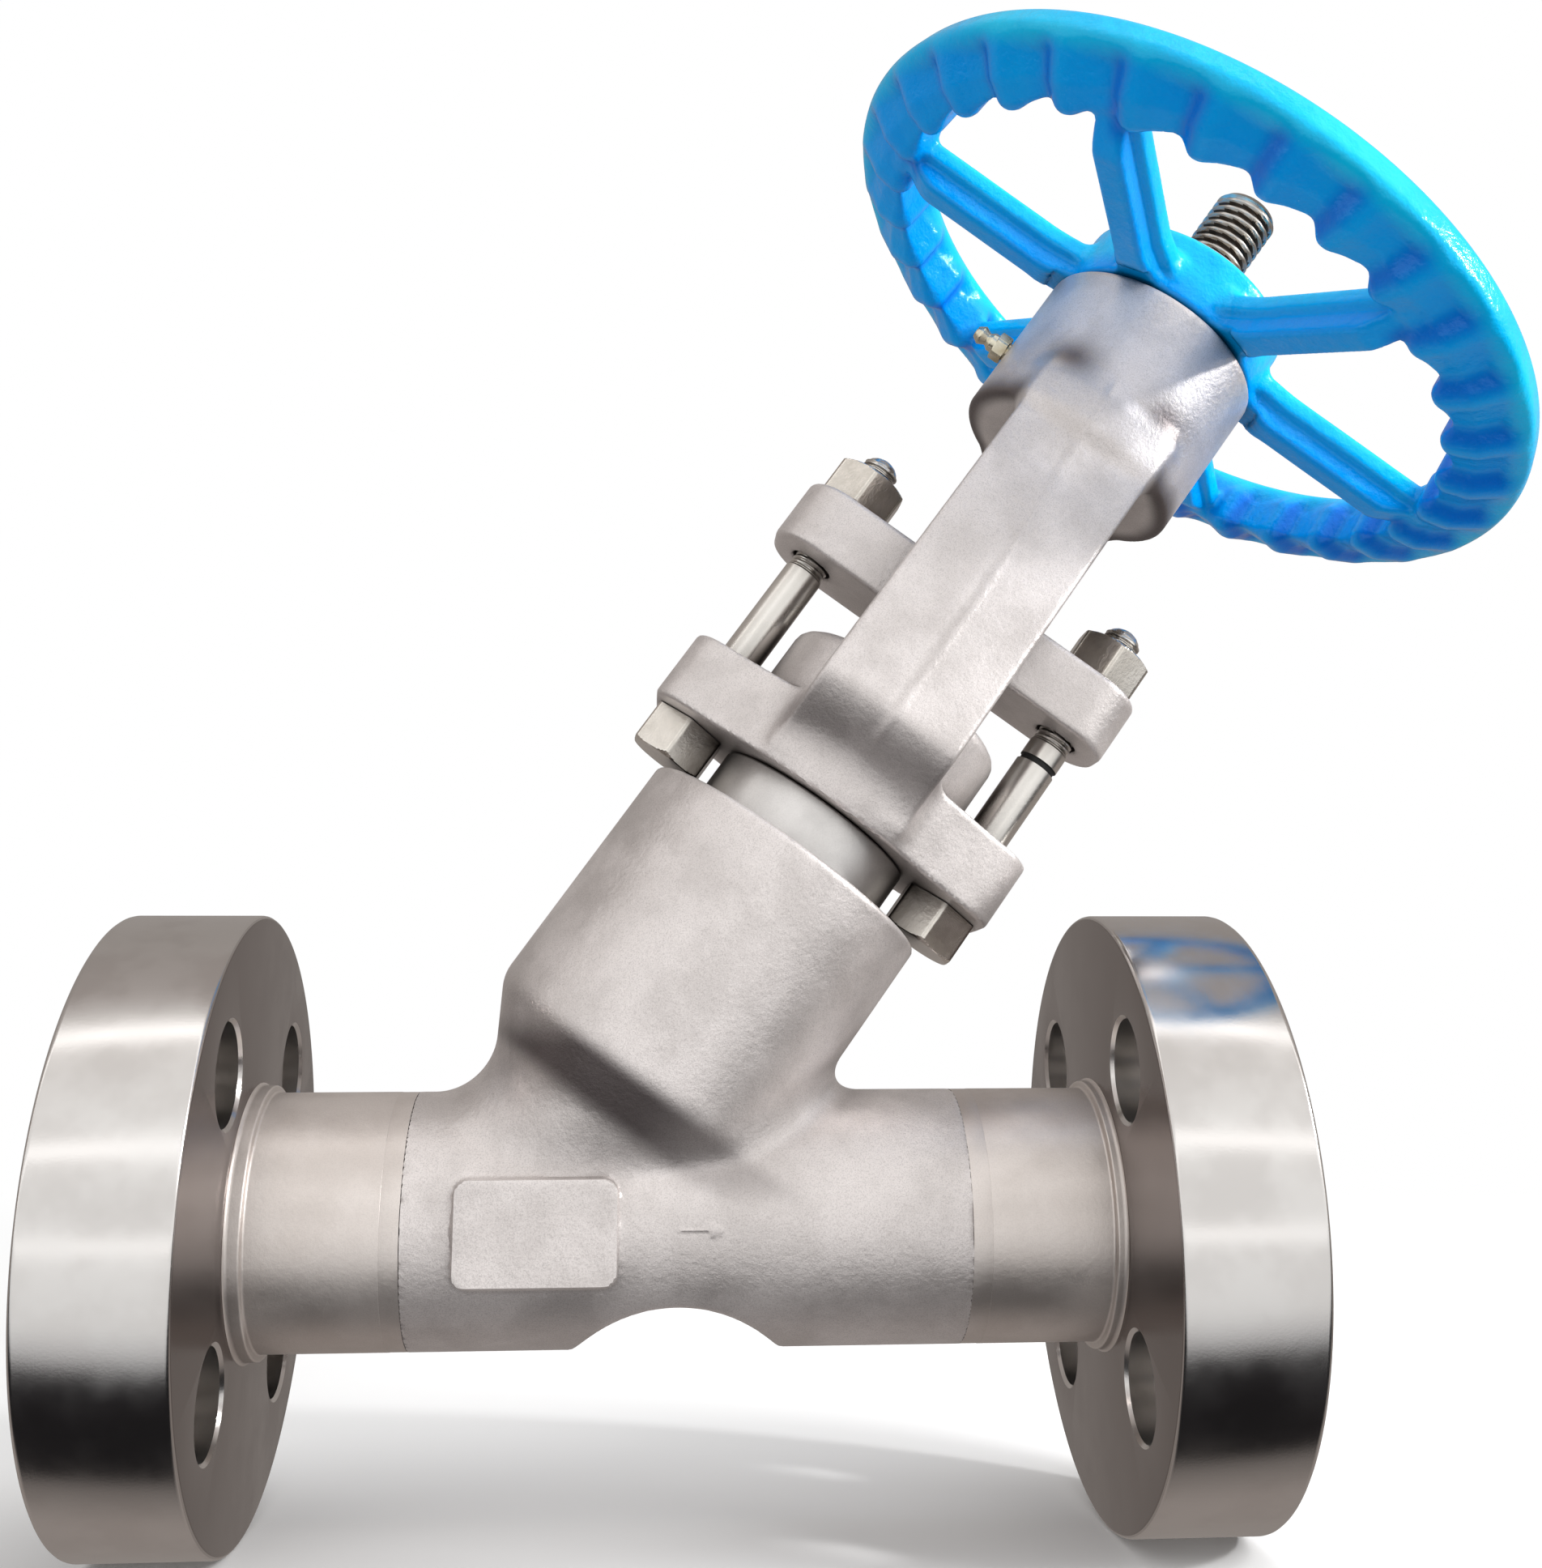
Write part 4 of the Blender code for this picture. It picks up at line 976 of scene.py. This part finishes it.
def build_stem():
    """The stem, with a thread that runs through the sleeve and out above the wheel."""
    bottom, top = heights("stem")
    thread = thread_rows(STEM_RADIUS, 1.6, 3.0, STEM_THREAD_BOTTOM, top - 2.2, 64, 12)
    rows = [
        (0.0, bottom), (8.6, bottom), (9.6, bottom + 1), (9.6, 20.3), (6.6, 20.3), (6.6, 30.6),
        (STEM_RADIUS, 30.6), (STEM_RADIUS, 60.5), (13.0, 63.5), (13.0, 70.5),
        (STEM_RADIUS, 73.5), (STEM_RADIUS, STEM_THREAD_BOTTOM - 0.5),
    ]
    rows += thread
    rows += [(9.7, top - 2.0), (9.0, top - 0.7), (8.0, top), (0.0, top)]
    mesh = swept("stem_mesh", rows, 64, closed=False)
    place("stem_detail", mesh, STEM, "rising_stem", ["stem"], STEM_STEEL,
          sharp=30, second=(GROOVE, lambda r, h: h > STEM_THREAD_BOTTOM and r < 9.3))


def build_nipple():
    """The grease nipple in the hub's side, along -X of the stem frame."""
    axis = STEM @ Matrix.Translation((0, 0, NIPPLE_HEIGHT * MM))
    axis = axis @ Matrix.Rotation(-math.pi / 2, 4, "Y")
    rows = rounded([
        (0, 46), (1.7, 45.8, 0.5), (3.0, 43.8, 0.6), (1.9, 41.6, 0.5), (2.9, 40.3, 0.3),
        (2.9, 26), (0, 26),
    ], radius=0.3, closed=False)
    mesh = swept("nipple_mesh", rows, 40, closed=False)
    place("grease_nipple_detail", mesh, axis, "valve_body", ["grease_nipple"], BRASS,
          sharp=40)
    mesh = hexagon("nipple_hex_mesh", 8.0, 34.9, 38.8, 0)
    place("grease_nipple_hex_detail", mesh, axis, "valve_body", [], BRASS, sharp=25)


def dress_kept_nodes():
    """CAD nodes whose shape is right keep it, with a procedural finish."""
    finishes = {
        "seat_ring": HARD, "disc": HARD, "backseat_bush": HARD, "disc_nut": STEM_STEEL,
        "bonnet_gasket": GRAPHITE, "packing_base_ring": STEM_STEEL, "bearing_lower": BRIGHT,
        "bearing_upper": BRIGHT, "sleeve_retainer": STEM_STEEL, "retainer_set_screw": STEM_STEEL,
        "handwheel_key": STEM_STEEL, "stem_guide": STEM_STEEL, "stem_guide_screw": BRIGHT,
    }
    for name, node in frame["nodes"].items():
        material = GRAPHITE if name.startswith("packing_ring") else finishes.get(name)
        if material is not None:
            node.material_slots[0].material = material


# ---------------------------------------------------------------- floor, light and camera


def build_floor():
    """A pale floor at the flanges' lowest point that fades into the white surroundings."""
    shape = bmesh.new()
    bmesh.ops.create_circle(shape, cap_ends=True, segments=96, radius=3.0)
    mesh = bpy.data.meshes.new("floor")
    shape.to_mesh(mesh)
    shape.free()
    material, graph = new_material("pale_floor")
    where = graph.coordinates()
    distance = graph.node("ShaderNodeVectorMath", {0: where}, operation="LENGTH")
    fade = graph.between(distance.outputs["Value"], 0.35, 1.3)
    paper = graph.node("ShaderNodeBsdfDiffuse", {"Color": (0.90, 0.90, 0.90, 1)})
    glow = graph.node("ShaderNodeEmission", {"Color": (1, 1, 1, 1), "Strength": 1.0})
    both = graph.node("ShaderNodeMixShader", {0: fade})
    graph.put(both.inputs[1], paper.outputs[0])
    graph.put(both.inputs[2], glow.outputs[0])
    output = graph.node("ShaderNodeOutputMaterial")
    graph.tree.links.new(both.outputs[0], output.inputs["Surface"])
    mesh.materials.append(material)
    floor = bpy.data.objects.new("floor", mesh)
    bpy.context.scene.collection.objects.link(floor)
    floor.location = (MIDDLE.x, MIDDLE.y, cad_low.z - 0.0004)
    floor.visible_glossy = False
    floor.visible_diffuse = False


# What gloss reflects, by the angle in degrees about the pipe's direction: 0 is level
# towards the front, 90 straight up, 180 level behind and -90 straight down.
STUDIO_BANDS = [
    (-180, (0.34, 0.31, 0.29)), (-150, (0.30, 0.27, 0.25)), (-112, (0.34, 0.30, 0.28)),
    (-92, (0.20, 0.18, 0.17)), (-86, (0.015, 0.014, 0.015)), (-47, (0.015, 0.014, 0.015)),
    (-40, (0.60, 0.60, 0.61)), (-30, (0.92, 0.92, 0.92)), (40, (1.0, 0.99, 0.98)),
    (72, (0.85, 0.82, 0.80)), (92, (0.42, 0.38, 0.36)), (130, (0.36, 0.33, 0.31)),
    (180, (0.34, 0.31, 0.29)),
]
# Bright tubes in it: (angle, half width in degrees, strength).
STUDIO_TUBES = [(75.0, 3.0, 1.6), (30.0, 2.5, 1.0), (-3.0, 2.0, 0.8)]


def build_world():
    """White to the camera, soft top light on matt surfaces, and a banded studio in gloss."""
    world = bpy.data.worlds.new("studio")
    bpy.context.scene.world = world
    world.use_nodes = True
    graph = Graph(world.node_tree)
    direction = graph.node("ShaderNodeTexCoord").outputs["Generated"]
    x, y, z = graph.node("ShaderNodeSeparateXYZ", {"Vector": direction}).outputs
    back = graph.math("MULTIPLY", y, -1.0)
    angle = graph.math("MULTIPLY", graph.math("ARCTAN2", z, back), 180 / math.pi)
    turn = graph.math("ADD", graph.math("DIVIDE", angle, 360.0), 0.5)
    studio = graph.ramp(turn, [((a + 180) / 360, colour) for a, colour in STUDIO_BANDS])
    lines = None
    for centre, width, strength in STUDIO_TUBES:
        off = graph.math("DIVIDE", graph.math("SUBTRACT", angle, centre), width)
        fall = graph.math("MULTIPLY", graph.math("MULTIPLY", off, off), -1.0)
        peak = graph.math("MULTIPLY", graph.math("EXPONENT", fall), strength)
        lines = peak if lines is None else graph.math("ADD", lines, peak)
    glossy = graph.node("ShaderNodeBackground", {"Color": studio, "Strength": 1.0})
    tubes = graph.node("ShaderNodeBackground", {"Color": (1, 1, 1, 1), "Strength": lines})
    shine = graph.node("ShaderNodeAddShader")
    graph.put(shine.inputs[0], glossy.outputs[0])
    graph.put(shine.inputs[1], tubes.outputs[0])
    height = graph.between(z, -1.0, 1.0)
    soft_colour = graph.ramp(height, [(0.0, (0.62, 0.61, 0.62)), (0.5, (0.82, 0.81, 0.81)),
                                      (1.0, (0.92, 0.91, 0.90))])
    soft = graph.node("ShaderNodeBackground", {"Color": soft_colour, "Strength": 0.85})
    white = graph.node("ShaderNodeBackground", {"Color": (1, 1, 1, 1), "Strength": 1.0})
    path = graph.node("ShaderNodeLightPath")
    lit = graph.node("ShaderNodeMixShader", {0: path.outputs["Is Glossy Ray"]})
    graph.put(lit.inputs[1], soft.outputs[0])
    graph.put(lit.inputs[2], shine.outputs[0])
    seen = graph.node("ShaderNodeMixShader", {0: path.outputs["Is Camera Ray"]})
    graph.put(seen.inputs[1], lit.outputs[0])
    graph.put(seen.inputs[2], white.outputs[0])
    output = graph.node("ShaderNodeOutputWorld")
    graph.tree.links.new(seen.outputs[0], output.inputs["Surface"])


def add_light(name, location, size, power, glossy):
    """A square light, in metres and watts, that looks at the middle of the valve."""
    light = bpy.data.lights.new(name, "AREA")
    light.shape = "RECTANGLE"
    light.size = light.size_y = size
    light.energy = power
    lamp = bpy.data.objects.new(name, light)
    bpy.context.scene.collection.objects.link(lamp)
    lamp.location = location
    lamp.rotation_euler = (MIDDLE - Vector(location)).to_track_quat("-Z", "Y").to_euler()
    lamp.visible_glossy = glossy


def build_lights():
    add_light("key_softbox", (1.6, -1.0, 1.2), 0.8, 24.0, glossy=False)
    add_light("spark", (1.4, -0.35, 0.5), 0.1, 9.0, glossy=True)
    add_light("top_softbox", (0.5, 0.2, 1.7), 1.2, 6.0, glossy=False)


def build_camera():
    """The photo's camera, fitted to the flanges' rims and bolt holes."""
    camera = bpy.data.cameras.new("camera")
    camera.sensor_width = 36.0
    camera.lens = 39.07
    camera.shift_x = 0.003562
    camera.shift_y = -0.063659
    camera.clip_start = 0.01
    camera.clip_end = 50.0
    viewer = bpy.data.objects.new("camera", camera)
    bpy.context.scene.collection.objects.link(viewer)
    viewer.location = (0.145281, -0.477689, 0.044151)
    viewer.rotation_euler = tuple(math.radians(a) for a in (102.067, 0.249, -3.790))
    bpy.context.scene.camera = viewer
    bpy.context.scene.view_settings.view_transform = "Standard"


build_flange("inlet_flange", "inlet_weld", 1)
build_flange("outlet_flange", "outlet_weld", -1)
build_body()
build_bonnet()
build_yoke()
build_gland_flange()
build_gland_bolts()
build_handwheel()
build_stem()
build_nipple()
dress_kept_nodes()
build_floor()
build_world()
build_lights()
build_camera()
